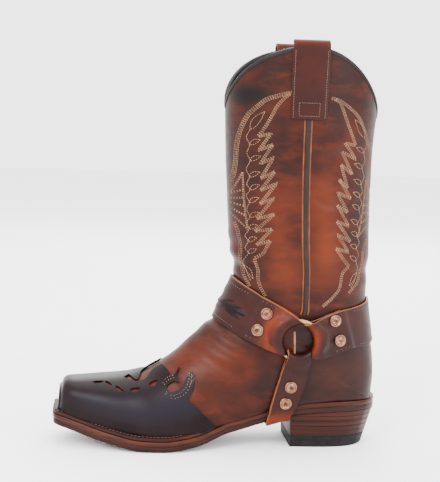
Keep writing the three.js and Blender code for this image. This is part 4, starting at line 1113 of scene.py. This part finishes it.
# %% Rings
STRAP = 2.1
RING_RADIUS = 18.8
RING_WIRE = 4.4
STRAP_WIDTH = 45
UNDER_WIDTH = 26
TAB_RISE = 0.6 + STRAP / 2
FOLD_RADIUS = (RING_WIRE + 2 + STRAP) / 2
RING_RISE = TAB_RISE + FOLD_RADIUS
OVER_TAB = TAB_RISE + STRAP + GAP
RING = np.array([along(0.7315), 0.905 * INSTEP_HEIGHT])
ring_frames = {}
for side, label in ((OUTER, "outer"), (INNER, "inner")):
    row, angle = locate(RING[0], RING[1], side)
    normal = last_normal(row, angle)
    centre = last_point(row, angle) + normal * RING_RISE
    ring_frames[side] = (centre, normal)
    bpy.ops.object.select_all(action="DESELECT")
    bpy.ops.mesh.primitive_torus_add(
        major_segments=96, minor_segments=20, major_radius=RING_RADIUS * MM, minor_radius=RING_WIRE / 2 * MM,
        location=Vector(centre) * MM, rotation=Vector(normal).to_track_quat("Z", "Y").to_euler(),
    )
    ring = bpy.context.object
    ring.name = "ring_" + label
    bpy.ops.object.transform_apply(location=True, rotation=True, scale=True)
    finish_piece(ring, "brass", [brass], "harness_ring_" + label)

# %% [markdown]
# ## Harness straps
# Each strap lies on the ankle, goes round its ring and comes back under itself as a tab, held by the
# studs. A grid follows the middle of the leather along that whole line. Solidify gives the leather
# its thickness with a pale cut edge, and Bevel breaks the corners.


# %% Strap lines
def ring_lift(point, normal, side, run):
    lift = np.zeros(len(run))
    for which in (OUTER, INNER):
        centre, ring_normal = ring_frames[which]
        height = ((centre - point) @ ring_normal) / np.where(
            np.abs(normal @ ring_normal) < 0.2, 1e9, normal @ ring_normal)
        lift = np.where(side == which, np.maximum(0, height - RING_RISE), lift)
    return lift * (1 - smoothstep(run, 8, 18))


def fold_shift(across):
    reach = np.minimum(np.abs(across), 0.86 * RING_RADIUS)
    return RING_RADIUS - np.sqrt(RING_RADIUS**2 - reach**2)


class AnkleStrap:
    side_run = 46

    def __init__(self, turn, rows, ridge_rows, ridge_angle):
        self.direction = np.array([-math.cos(turn), math.sin(turn)])
        self.upwards = np.array([
            abs(self.direction[1]) * math.copysign(1, -self.direction[0]), abs(self.direction[0])])
        self.above = curve_through([r[0] for r in rows], [r[1] for r in rows])
        self.below = curve_through([r[0] for r in rows], [r[2] for r in rows])
        self.ridge_rows = ridge_rows
        self.ridge_angle = ridge_angle
        self.start = RING_RADIUS - FOLD_RADIUS
        self.last_run = self.side_run - self.start
        row, angle = self.side_place(np.array([self.last_run]), np.array([0.5]))
        ridge = last_point(sum(ridge_rows) / 2, ridge_angle)
        self.wrap = float(np.linalg.norm(last_point(row[0], angle[0]) - ridge))
        self.half = self.last_run + self.wrap

    def side_place(self, run, across):
        share = (self.start + run) / STRAP_WIDTH
        above = self.above(share) * STRAP_WIDTH
        below = self.below(share) * STRAP_WIDTH
        offset = above + (-below - above) * across
        shift = fold_shift(offset) * (1 - smoothstep(run, 4, self.last_run))
        reach = self.start + run - shift
        x = RING[0] + self.direction[0] * reach + self.upwards[0] * offset
        z = RING[1] + self.direction[1] * reach + self.upwards[1] * offset
        return locate(x, z, INNER)

    def place_at(self, run, across):
        row, angle = self.side_place(np.minimum(run, self.last_run), across)
        u = np.clip(1 - (run - self.last_run) / self.wrap, 0, 1)
        ridge = self.ridge_rows[0] + (self.ridge_rows[1] - self.ridge_rows[0]) * across
        wrapped = run > self.last_run
        return (
            np.where(wrapped, ridge + (row - ridge) * u**1.3, row),
            np.where(wrapped, self.ridge_angle + (angle - self.ridge_angle) * u, angle),
        )

    def point_at(self, run, across, height):
        side = np.where(run <= self.half, OUTER, INNER)
        near = np.where(run <= self.half, run, 2 * self.half - run)
        row, angle = self.place_at(near, across)
        here = last_point(row, side * angle)
        normal = last_normal(row, side * angle)
        ends = []
        for share in (0.0, 1.0):
            end_row, end_angle = self.place_at(near, np.full(len(near), share))
            ends.append(last_point(end_row, side * end_angle))
        chord = ends[0] + (ends[1] - ends[0]) * across[:, None]
        bridge = np.maximum(0, np.sum((chord - here) * normal, -1))
        raised = np.maximum(bridge, ring_lift(here, normal, side, near))
        return here + normal * (raised + height)[:, None]


print("ring centre:", np.round(ring_frames[OUTER][0], 1))


# %% The strap under the sole
class UnderStrap:
    heights = [0.225, 0.31, 0.392, 0.516, 0.6, 0.77]

    def __init__(self):
        self.middle = curve_through(self.heights, [0.6795, 0.6885, 0.6984, 0.7111, 0.7206, 0.7325])
        self.width = curve_through(self.heights, [0.81, 0.87, 0.98, 1.0, 1.0, 0.84])
        self.top = RING[1] - RING_RADIUS + FOLD_RADIUS
        self.kept = {}
        self.half = self.profile(0.5, OUTER)[2][-1] - 6

    def place_x(self, z, across):
        share = z / INSTEP_HEIGHT
        return along(self.middle(share)) + (across - 0.5) * self.width(share) * UNDER_WIDTH

    def profile(self, across, side):
        key = (round(float(across), 4), int(side))
        if key in self.kept:
            return self.kept[key]
        floor_level = float(outsole_bottom(along(self.middle(0.0))))
        z = np.arange(self.top + 6, floor_level, -1.5)
        x = self.place_x(z, across)
        row, angle = locate(x, z, side)
        body = np.where(z > sole_top(x), np.abs(last_point(row, angle)[:, 1]) + GAP, 0)
        sole = np.where(z < midsole_top(x), sole_half(x, side) + GAP, 0)
        points = list(zip(np.maximum(body, sole), z))
        x_low = float(self.place_x(floor_level, across))
        low = float(outsole_bottom(x_low)) - 3 * GAP
        points += [(float(sole_half(x_low, side)) + GAP, low), (0.0, low)]
        taut = []
        for point in points:
            while len(taut) > 1:
                (ax, az), (bx, bz) = taut[-2:]
                if (bx - ax) * (point[1] - az) - (bz - az) * (point[0] - ax) > 0:
                    taut.pop()
                else:
                    break
            taut.append(point)
        taut = np.array(taut)
        lengths = np.concatenate([[0], np.cumsum(np.hypot(*np.diff(taut, axis=0).T))])
        self.kept[key] = (taut[:, 0], taut[:, 1], lengths)
        return self.kept[key]

    def point_at(self, run, across, height):
        result = np.zeros((len(run), 3))
        side = np.where(run <= self.half, OUTER, INNER)
        near = np.where(run <= self.half, run, 2 * self.half - run)
        for share in np.unique(np.round(across, 4)):
            for which in (OUTER, INNER):
                here = (np.round(across, 4) == share) & (side == which)
                if not here.any():
                    continue
                out, z, lengths = self.profile(share, which)
                length = lengths[-1]
                offset = (share - 0.5) * UNDER_WIDTH
                shift = fold_shift(offset) * (1 - smoothstep(near[here], 4, 30))
                far_along = np.clip((6 + near[here] - shift) * length / (self.half + 6), 0, length)
                y_at = np.interp(far_along, lengths, out)
                z_at = np.interp(far_along, lengths, z)
                ahead = np.clip(far_along + 2.4, 0, length)
                behind = np.clip(far_along - 2.4, 0, length)
                way = np.stack([
                    np.interp(ahead, lengths, out) - np.interp(behind, lengths, out),
                    np.interp(ahead, lengths, z) - np.interp(behind, lengths, z),
                ], -1)
                way = unit(way)
                point = np.stack([self.place_x(z_at, share), which * y_at, z_at], -1)
                normal = np.stack([np.zeros(len(way)), -which * way[:, 1], way[:, 0]], -1)
                lift = ring_lift(point, normal, np.full(len(point), which), near[here])
                lift = np.where(near[here] < 18, lift, 0)
                result[here] = point + normal * (height[here] + lift)[:, None]
        return result


# %% Make the straps
def fold_line(tab):
    line = [(tab, TAB_RISE), (tab / 2, TAB_RISE)]
    for turn in (0, 20, 40, 60, 80, 100, 120, 140, 155, 168, 180):
        a = math.radians(turn)
        line.append((FOLD_RADIUS * (1 - math.sin(a)), TAB_RISE + FOLD_RADIUS * (1 - math.cos(a))))
    line += [(6.5, TAB_RISE + 2 * FOLD_RADIUS - 0.2), (10, TAB_RISE + 2 * FOLD_RADIUS - 1.4)]
    line += [(14, OVER_TAB + 1.7), (18.5, OVER_TAB + 0.4), (21.5, OVER_TAB)]
    line += [(run, OVER_TAB) for run in np.arange(27, tab, 12)]
    return line + [(tab + 1, OVER_TAB), (tab + 9, TAB_RISE)]


def dense(line, spacing):
    points = rounded_line(line, 6, 75)
    lengths = np.concatenate([[0], np.cumsum(np.hypot(*np.diff(points, axis=0).T))])
    marks = np.linspace(0, lengths[-1], max(2, round(lengths[-1] / spacing)))
    return np.stack([np.interp(marks, lengths, points[:, k]) for k in (0, 1)], -1)


def strap_piece(name, strap, tab, node, glow, reach, columns=14):
    start = fold_line(tab)
    one_way = dense([*start, (strap.half, TAB_RISE)], 1.5)
    line = np.vstack([one_way, [[2 * strap.half - r, h] for r, h in one_way[::-1][1:]]])

    def strap_place(u, v):
        index = np.rint(v * (len(line) - 1)).astype(int)
        across = np.interp(u, [0, 1 / columns, 1 - 1 / columns, 1], [0, 0.024, 0.976, 1])
        return strap.point_at(line[index, 0], np.round(across, 4), line[index, 1])

    piece, u, v = bent_grid(name, columns, len(line) - 1, strap_place)
    index = np.rint(v * (len(line) - 1)).astype(int)
    near = np.minimum(line[index, 0], 2 * strap.half - line[index, 0])
    # painted highlight: lighter orange centred at run glow, on the raised fold round the ring, and lower down the
    # side on the under strap
    paint(piece, "warm_tone_and_highlight", np.clip(0.9 * np.exp(-((near - glow) / reach) ** 2) + 0.06, 0, 1))
    # painted highlight along the upper edge only (the front edge of the under strap)
    paint(piece, "edge", np.where(u < 0.01, 0.9, 0))
    apply(piece, "SOLIDIFY", thickness=STRAP * MM, offset=0, use_even_offset=False, material_offset_rim=1)
    apply(piece, "BEVEL", width=0.4 * MM, segments=2, limit_method="ANGLE", angle_limit=math.radians(60))
    merge(piece, 0.005)
    return finish_piece(piece, "harness_leather", [strap_finish, cut_edge], node, angle=45)


def ridge_row(curve, share, first=0):
    level = height_of(share)
    return float(solve(first, TOP_ROW, lambda r: section[curve](r) - level, 0.0))


front_strap = AnkleStrap(
    math.radians(23.9),
    [(0.22, 0.34, 0.34), (0.42, 0.42, 0.45), (0.7, 0.475, 0.49), (1.03, 0.505, 0.5)],
    (ridge_row("fz", 1.168), ridge_row("fz", 1.003)),
    0.0,
)
back_strap = AnkleStrap(
    math.radians(180 - 17.5),
    [(0.22, 0.3, 0.34), (0.49, 0.3, 0.49), (0.78, 0.32, 0.535), (1.03, 0.33, 0.54)],
    (ridge_row("bz", 1.091, LAST_FLAT_ROW), ridge_row("bz", 0.855, LAST_FLAT_ROW)),
    math.pi,
)
under_strap = UnderStrap()
strap_piece("front_strap_leather", front_strap, 31, "harness_front_strap", 14, 6)
strap_piece("back_strap_leather", back_strap, 31, "harness_back_strap", 0, 5)
strap_piece("under_strap_leather", under_strap, 56, "harness_under_strap", 64, 7)

# %% [markdown]
# ## Studs
# Each stud is a stamped cap: a raised rim round a low rosette. One is turned from its profile, and
# the others are copies with their own mesh, set square to the strap.

# %% Stud
STUD_RADIUS = 6.1
STUD_HEIGHT = 2.2
STUD_PROFILE = curve_through(
    [0, 0.12, 0.3, 0.45, 0.6, 0.7, 0.8, 0.9, 0.97, 1.0],
    [0.62, 0.66, 0.58, 0.42, 0.38, 0.62, 0.98, 0.9, 0.45, 0.0],
)


def stud_place(u, v):
    turn = u * 2 * math.pi
    petals = 0.22 * np.cos(turn * 6) * np.sin(np.clip(v / 0.6, 0, 1) * math.pi)
    height = (STUD_PROFILE(v) + petals) * STUD_HEIGHT
    radius = v * STUD_RADIUS
    return np.stack([radius * np.cos(turn), radius * np.sin(turn), np.maximum(0, height)], -1)


master, _, _ = bent_grid("stud_master", 48, 22, stud_place)
merge(master, 0.01)
stud_runs = [
    ("front", front_strap, [(22.6, 0.26), (22.8, 0.68)]),
    ("back", back_strap, [(23, 0.17), (23, 0.7)]),
    ("under", under_strap, [(31, 0.5), (46.5, 0.5)]),
]
base = OVER_TAB + STRAP / 2
for label, strap, runs in stud_runs:
    for side, side_label in ((OUTER, "outer"), (INNER, "inner")):
        for i, (run, across) in enumerate(runs):
            far_run = run if side == OUTER else 2 * strap.half - run
            share = np.array([across])
            foot = strap.point_at(np.array([far_run]), share, np.array([base]))[0]
            tip = strap.point_at(np.array([far_run]), share, np.array([base + 1]))[0]
            stud = master.copy()
            stud.data = master.data.copy()
            stud.name = f"stud_{label}_{side_label}_{i + 1}"
            bpy.context.scene.collection.objects.link(stud)
            turn = Vector(tip - foot).to_track_quat("Z", "Y").to_matrix().to_4x4()
            stud.data.transform(Matrix.Translation(Vector(foot) * MM) @ turn)
            finish_piece(stud, "brass", [copper], f"{label}_stud_{side_label}_{i + 1}", angle=60)
bpy.data.objects.remove(master)

# %% [markdown]
# ## Pull straps and side seams
# A folded strap is sewn over each side of the collar, to pull the boot on by. Below it a rolled cord
# covers the seam between the front and back of the shaft, with an amber edge beside it.

# %% Pull straps
PULL_WIDTH = 34
PULL_THICKNESS = 2.6
SEAM_X = along(0.731)
outside_rise = 0.6 + PULL_THICKNESS / 2
inside_rise = -(WALL + 1.8 + PULL_THICKNESS / 2)


def pull_point(x, z, rise, side):
    row, angle = shaft_place(x, np.minimum(z, SHAFT_HEIGHT - 4), side)
    normal = last_normal(row, angle)
    normal[..., 2] = 0
    point = last_point(row, angle) + unit(normal) * np.asarray(rise)[..., None]
    point[..., 2] = z
    return point


def pull_strap(side, label):
    line = [(rise, outside_rise) for rise in np.linspace(-66, -1, 34)]
    middle = (outside_rise + inside_rise) / 2
    bend = (outside_rise - inside_rise) / 2
    for turn in range(12, 180, 12):
        a = math.radians(turn)
        line.append((math.sin(a) * 5.2, middle + bend * math.cos(a)))
    line += [(rise, inside_rise) for rise in np.linspace(-1, -52, 26)]
    line = np.array(line)

    def strap_place(u, v):
        index = np.rint(v * (len(line) - 1)).astype(int)
        rise = line[index, 0]
        from_end = np.minimum(5, rise - np.where(index < 36, -66, -52))
        corner = 5 - np.sqrt(25 - (5 - np.clip(from_end, 0, 5)) ** 2)
        half = PULL_WIDTH / 2 - corner
        return pull_point(SEAM_X + (u * 2 - 1) * half, SHAFT_HEIGHT + rise, line[index, 1], side)

    piece, _, v = bent_grid("pull_strap_" + label + "_leather", 14, len(line) - 1, strap_place)
    index = np.rint(v * (len(line) - 1)).astype(int)
    rise = line[index, 0]
    # painted highlight: the top of the fold over the collar is lighter, as if lit from above
    paint(piece, "warm_tone_and_highlight", np.clip(0.6 * smoothstep(rise, 0, 5) + 0.1, 0, 1))
    apply(piece, "SOLIDIFY", thickness=PULL_THICKNESS * MM, offset=0, material_offset_rim=1)
    apply(piece, "BEVEL", width=0.5 * MM, segments=2, limit_method="ANGLE", angle_limit=math.radians(60))
    merge(piece, 0.005)
    return finish_piece(piece, "harness_leather", [strap_finish, cord_leather], "pull_strap_" + label, angle=45)


def side_seam(side, label):
    top = SHAFT_HEIGHT - 66.6
    bottom = RING[1] + RING_RADIUS + RING_WIRE + GAP

    def cord_place(u, v):
        z = bottom + (top - bottom) * v
        across = (u - 0.5) * 4.2
        row, angle = shaft_place(SEAM_X + across, z, side)
        return skin(row, angle, 0.2 + 1.7 * np.sqrt(np.maximum(0, 1 - (across / 2.1) ** 2)))

    def edge_place(u, v, start):
        z = bottom + (top - bottom) * v
        row, angle = shaft_place(SEAM_X + start + u * 1.7, z, side)
        return skin(row, angle, 0.25 + 0.35 * np.sin(u * math.pi))

    cord, _, _ = bent_grid("seam_cord_" + label, 12, 120, cord_place)
    apply(cord, "SOLIDIFY", thickness=0.8 * MM, offset=0)
    merge(cord, 0.005)
    finish_piece(cord, "dark_leather", [cord_leather], "side_seam_" + label, angle=50)
    for part, start in (("front", -3.9), ("back", 2.2)):
        name = f"seam_edge_{part}_{label}"
        edge, _, _ = bent_grid(name, 4, 120, lambda u, v, s=start: edge_place(u, v, s))
        apply(edge, "SOLIDIFY", thickness=0.5 * MM, offset=0)
        finish_piece(edge, "tan_leather", [amber_edge], angle=50)


for side, label in ((OUTER, "outer"), (INNER, "inner")):
    pull_strap(side, label)
    side_seam(side, label)

# %% [markdown]
# ## Embroidery
# Rows of thread draw a traditional feathered wing and a leafy vine on the front and back of the
# shaft. The lines are drawn in side view, laid in parallel rows, and every stitch is its own small
# rounded bar on the skin. One stitch is modelled, and one mesh holds all of its copies.

# %% Lines of the wing
WING_ARC = [
    (57, 340), (45, 337), (34, 333), (27, 327), (20, 320), (16, 313), (13, 305), (11, 296), (10, 285),
    (10, 274), (9, 264), (7, 255),
]
WING_BAND = [(57, 340), (50, 335), (44, 328), (40, 320), (36, 312), (32, 305), (28, 299)]
TEETH = [
    (28, 299), (39, 302), (29, 286), (41, 292), (31, 274), (42, 280), (32, 260), (44, 267), (32, 249),
    (46, 256), (32, 236), (44, 242), (30, 222), (45, 227), (29, 210), (44, 213), (31, 197), (43, 202),
    (37, 189), (30, 184),
]
WING_TAIL = [(30, 184), (33, 174), (35, 160), (41, 148)]
HOOK = [(11, 217), (15, 208), (17, 196), (19, 177), (21, 168), (27, 156)]
VINE = [
    (21, 305), (18, 298), (21, 291), (19, 283), (22, 276), (19, 268), (22, 261), (20, 254), (23, 249),
    (20, 243), (23, 237), (21, 230), (24, 223), (21, 217), (24, 212), (21, 205), (24, 200), (21, 193),
    (24, 188), (21, 180), (22, 173), (28, 162),
]
LEAVES = [
    ((21, 305), (33, 322), 6.5), ((21, 291), (30, 296), 4), ((22, 276), (31, 281), 4),
    ((22, 261), (31, 266), 4), ((23, 249), (31, 254), 4), ((23, 237), (31, 242), 4),
    ((24, 223), (32, 228), 4), ((24, 212), (31, 216), 4), ((24, 200), (31, 204), 4),
    ((24, 188), (31, 193), 4), ((21, 176), (30, 164), 3.5),
]
FAN = [
    [(16, 265), (12, 255), (7, 245)], [(16, 265), (17, 254), (18, 243), (20, 226), (23, 210)],
    [(7, 244), (18, 249)], [(7, 239), (18, 241)], [(7, 235), (19, 233)], [(8, 230), (20, 224)],
    [(8, 225), (22, 212)],
]


BACK_ARC = [
    (93, 336), (102, 334), (110, 329), (117, 324), (123, 318), (128, 310), (132, 302), (136, 292),
    (139, 282), (141, 271), (142, 260), (142, 251),
]
BACK_BAND = [(97, 335), (102, 332), (106, 324), (110, 315), (115, 304), (120, 293)]
BACK_TEETH = [
    (120, 293), (109, 295), (121, 280), (106, 287), (118, 266), (106, 275), (114, 253), (105, 261),
    (118, 243), (104, 249), (115, 230), (104, 237), (117, 217), (104, 222), (120, 202), (106, 209),
    (118, 192), (105, 196), (112, 187), (120, 178),
]
BACK_TAIL = [(120, 178), (113, 170), (111, 157), (104, 148), (95, 140)]
BACK_HOOK = [(141, 207), (135, 193), (134, 177), (131, 163), (121, 152)]


def mirrored(line):
    return [(151 - x, z - 5) for x, z in line]


print("leaves:", len(LEAVES), "teeth:", len(TEETH) // 2)


# %% Stitches
def resample(line, pitch, offset=0.0):
    line = np.array(line, float)
    lengths = np.concatenate([[0], np.cumsum(np.hypot(*np.diff(line, axis=0).T))])
    count = max(1, int(lengths[-1] / pitch))
    marks = (np.arange(count) + 0.5) * lengths[-1] / count
    at = np.stack([np.interp(marks, lengths, line[:, k]) for k in (0, 1)], -1)
    step = min(0.6, lengths[-1] / 4)
    ahead = np.stack([np.interp(marks + step, lengths, line[:, k]) for k in (0, 1)], -1)
    behind = np.stack([np.interp(marks - step, lengths, line[:, k]) for k in (0, 1)], -1)
    way = unit(ahead - behind)
    return at + offset * np.stack([-way[:, 1], way[:, 0]], -1), way


bpy.ops.object.select_all(action="DESELECT")
bpy.ops.mesh.primitive_uv_sphere_add(segments=6, ring_count=4, radius=0.5)
stitch = bpy.context.object
stitch_points = np.array([v.co[:] for v in stitch.data.vertices])[:, [2, 0, 1]] * (1, -1, 1)
stitch_faces = [list(p.vertices) for p in stitch.data.polygons]
bpy.data.objects.remove(stitch)


def sew(name, stitches, material, slot="tan_leather"):
    middle = np.vstack([s[0] for s in stitches])
    way = np.vstack([s[1] for s in stitches])
    out = np.vstack([s[2] for s in stitches])
    size = np.vstack([np.broadcast_to(s[3], (len(s[0]), 3)) for s in stitches])
    out = unit(out)
    way = unit(way - out * np.sum(way * out, -1, keepdims=True))
    across = np.cross(out, way)
    local = stitch_points[None] * size[:, None]
    points = middle[:, None] + local[..., :1] * way[:, None] + local[..., 1:2] * across[:, None]
    points = (points + local[..., 2:] * out[:, None]).reshape(-1, 3) * MM
    count = len(stitch_points)
    faces = [[i * count + k for k in face] for i in range(len(middle)) for face in stitch_faces]
    mesh = bpy.data.meshes.new(name)
    mesh.from_pydata(points.tolist(), [], faces)
    piece = bpy.data.objects.new(name, mesh)
    bpy.context.scene.collection.objects.link(piece)
    print(name, len(middle), "stitches")
    merge(piece, 0.0001)
    return finish_piece(piece, slot, [material], angle=180)


def on_shaft(line, side, pitch=2.3, offset=0.0, size=(2.0, 0.75, 0.6)):
    at, way = resample(line, pitch, offset)

    row, angle = place_on_side(at[:, 0], at[:, 1], side)
    flat_way = np.stack([way[:, 0], np.zeros(len(way)), way[:, 1]], -1)
    return skin(row, angle, 0.12), flat_way, last_normal(row, angle), np.array(size)


def leaf_line(start, end, width):
    points = leaf(np.array(start, float), np.array(end, float), width, 0.3, 8)
    return [*map(tuple, points), tuple(points[0])]


def wing(side, flip):
    bands = [(WING_ARC, 4), (WING_BAND, 3), (TEETH, 3), (WING_TAIL, 3), (HOOK, 3)]
    if flip:
        bands = [(BACK_ARC, 3), (BACK_BAND, 3), (BACK_TEETH, 3), (BACK_TAIL, 3), (BACK_HOOK, 3)]
    made = []
    for line, rows in bands:
        zigzag = line in (TEETH, BACK_TEETH)
        drawn = np.array(line, float) if zigzag else rounded_line(line, 5, 100)
        for k in range(rows):
            offset = (k - (rows - 1) / 2) * 1.1
            made.append(on_shaft(drawn, side, 2.1, offset, (1.9, 0.55, 0.5)))
    thin = [(rounded_line(VINE, 4, 170), 0.0)]
    thin += [(np.array(leaf_line(*each)), 0.0) for each in LEAVES]
    thin += [(rounded_line(line, 4, 170), k) for line in FAN for k in (-0.5, 0.5)]
    for line, offset in thin:
        drawn = np.array(mirrored(line)) if flip else line
        made.append(on_shaft(drawn, side, 2.1, offset, (1.9, 0.62, 0.5)))
    return made


for side, label in ((OUTER, "outer"), (INNER, "inner")):
    sew("embroidery_front_" + label, wing(side, False), tan_thread)
    sew("embroidery_back_" + label, wing(side, True), tan_thread)


# %% Stitches on the straps, the cap and the welt
def on_strap(strap, line, size=(1.6, 0.6, 0.5), pitch=2.6, height=None):
    line = np.array(line, float)
    count = max(2, int(abs(line[-1][0] - line[0][0]) / pitch + np.abs(line[-1][1] - line[0][1]) * 30 / pitch))
    t = (np.arange(count) + 0.5) / count
    run = line[0][0] + (line[1][0] - line[0][0]) * t
    across = line[0][1] + (line[1][1] - line[0][1]) * t
    lift = TAB_RISE + STRAP / 2 + 0.08 if height is None else height
    here = strap.point_at(run, np.round(across, 4), np.full(count, lift))
    above = strap.point_at(run, np.round(across, 4), np.full(count, lift + 1))
    way = np.gradient(here, axis=0)
    return here, way, above - here, np.array(size)


strap_stitches = []
for strap, first in ((front_strap, 41.0), (back_strap, 41.0)):
    for across in (0.07, 0.93):
        strap_stitches.append(on_strap(strap, [(first, across), (2 * strap.half - first, across)]))
    for start in (16.0, 2 * strap.half - 31):
        for across in (0.07, 0.93):
            strap_stitches.append(on_strap(
                strap, [(start, across), (start + 15, across)], height=OVER_TAB + STRAP / 2 + 0.08))
sew("strap_stitches", strap_stitches, brown_thread, "harness_leather")


def pull_stitches(side):
    made = []
    rim = outside_rise + PULL_THICKNESS / 2 + 0.05
    z = np.arange(SHAFT_HEIGHT - 64, SHAFT_HEIGHT - 4, 2.3)
    for across in (-14.6, 14.6):
        here = pull_point(np.full(len(z), SEAM_X + across), z, np.full(len(z), rim), side)
        made.append((here, np.gradient(here, axis=0), here))
    x = np.arange(-8.8, 9, 2.2)
    for level in (-63, -51):
        here = pull_point(SEAM_X + x, np.full(len(x), SHAFT_HEIGHT + level), np.full(len(x), rim), side)
        made.append((here, np.gradient(here, axis=0), here))
    z = np.arange(SHAFT_HEIGHT - 61, SHAFT_HEIGHT - 51, 2.3)
    for across in (-9.4, 9.4):
        here = pull_point(np.full(len(z), SEAM_X + across), z, np.full(len(z), rim), side)
        made.append((here, np.gradient(here, axis=0), here))
    outwards = np.array([0, side, 0])
    return [(a, b, np.broadcast_to(outwards, a.shape), np.array((1.7, 0.7, 0.5))) for a, b, _ in made]


sew("pull_stitches_outer", pull_stitches(OUTER), brown_thread, "harness_leather")
sew("pull_stitches_inner", pull_stitches(INNER), brown_thread, "harness_leather")
cap_stitches = []
for side, edge in ((OUTER, near), (INNER, far)):
    span = edge[88:138]
    at, way = resample(span, 1.9, 1.7 * side)
    for reach in (0, 1):
        at, way = resample(span, 1.9, (1.6 + reach * 1.3) * side)
        here = cap_point(at[:, 0], at[:, 1] / GIRTH, np.full(len(at), 1.86))
        above = cap_point(at[:, 0], at[:, 1] / GIRTH, np.full(len(at), 2.86))
        cap_stitches.append((here, np.gradient(here, axis=0), above - here, np.array((1.4, 0.4, 0.35))))
sew("cap_stitches", cap_stitches, tan_thread, "dark_leather")
welt_stitches = []
for side in (OUTER, INNER):
    x = along(0.006) + (along(WELT_END - 0.01) - along(0.006)) * (1 - np.cos(np.linspace(0.02, 1.57, 58)))
    here = np.stack([x, side * (sole_half(x, side) - 3.0), sole_top(x) + 0.05], -1)
    marks = np.concatenate([[0], np.cumsum(np.linalg.norm(np.diff(here, axis=0), axis=-1))])
    spots = np.arange(2, marks[-1] - 1, 3.6)
    here = np.stack([np.interp(spots, marks, here[:, k]) for k in range(3)], -1)
    rise = np.broadcast_to(np.array([0.0, 0.0, 1.0]), here.shape)
    welt_stitches.append((here, np.gradient(here, axis=0), rise, np.array((2.9, 0.9, 0.7))))
sew("welt_stitches", welt_stitches, brown_thread, "edge_leather")

# %% [markdown]
# ## Leaf inlay on the front strap
# A dark leather sprig is set into the front strap on both sides of its middle. Each leaf is a small
# domed grid laid on the strap.


# %% Inlay
def strap_leaf(name, strap, start, end, width, flip):
    points_start = np.array(start, float)
    points_end = np.array(end, float)
    way = points_end - points_start
    side = np.array([-way[1], way[0]]) / np.hypot(*way) * width / 2

    def leaf_place(u, v):
        swell = np.sin(np.pi * v**0.75) * (1 + 0.16 * np.sin(v * 34))
        spot = points_start + v[:, None] * way + ((u * 2 - 1) * swell)[:, None] * side
        spot = spot + np.outer(np.sin(np.pi * v) * 0.25, side)
        run = 2 * strap.half - spot[:, 0] if flip else spot[:, 0]
        dome = 0.45 * np.sin(np.pi * np.clip(u, 0, 1)) * np.sin(np.pi * v)
        return strap.point_at(run, spot[:, 1] / STRAP_WIDTH, TAB_RISE + STRAP / 2 + 0.1 + dome)

    piece, _, _ = bent_grid(name, 8, 22, leaf_place)
    apply(piece, "SOLIDIFY", thickness=0.4 * MM, offset=0)
    merge(piece, 0.005)
    return finish_piece(piece, "dark_leather", [dark], angle=60)


middle_run = front_strap.half
sprig = [
    ((middle_run - 2, 20), (middle_run - 42, 24), 7.5), ((middle_run - 14, 20), (middle_run - 30, 16), 2.6),
    ((middle_run - 16, 25), (middle_run - 33, 29), 2.6), ((middle_run - 4, 17), (middle_run - 20, 13), 2.2),
]
for flip, label in ((False, "outer"), (True, "inner")):
    for i, (start, end, width) in enumerate(sprig):
        strap_leaf(f"inlay_leaf_{label}_{i + 1}", front_strap, start, end, width, flip)

# %% [markdown]
# ## Insole
# The insole of the solid model has its true shape, and little of it shows inside the shaft. It keeps
# its solid and only gets the lining finish.

# %% Insole finish
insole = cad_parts["insole"]
insole.data.materials.clear()
insole.data.materials.append(lining)
print("nodes kept:", [name for name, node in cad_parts.items() if not node.hide_render])
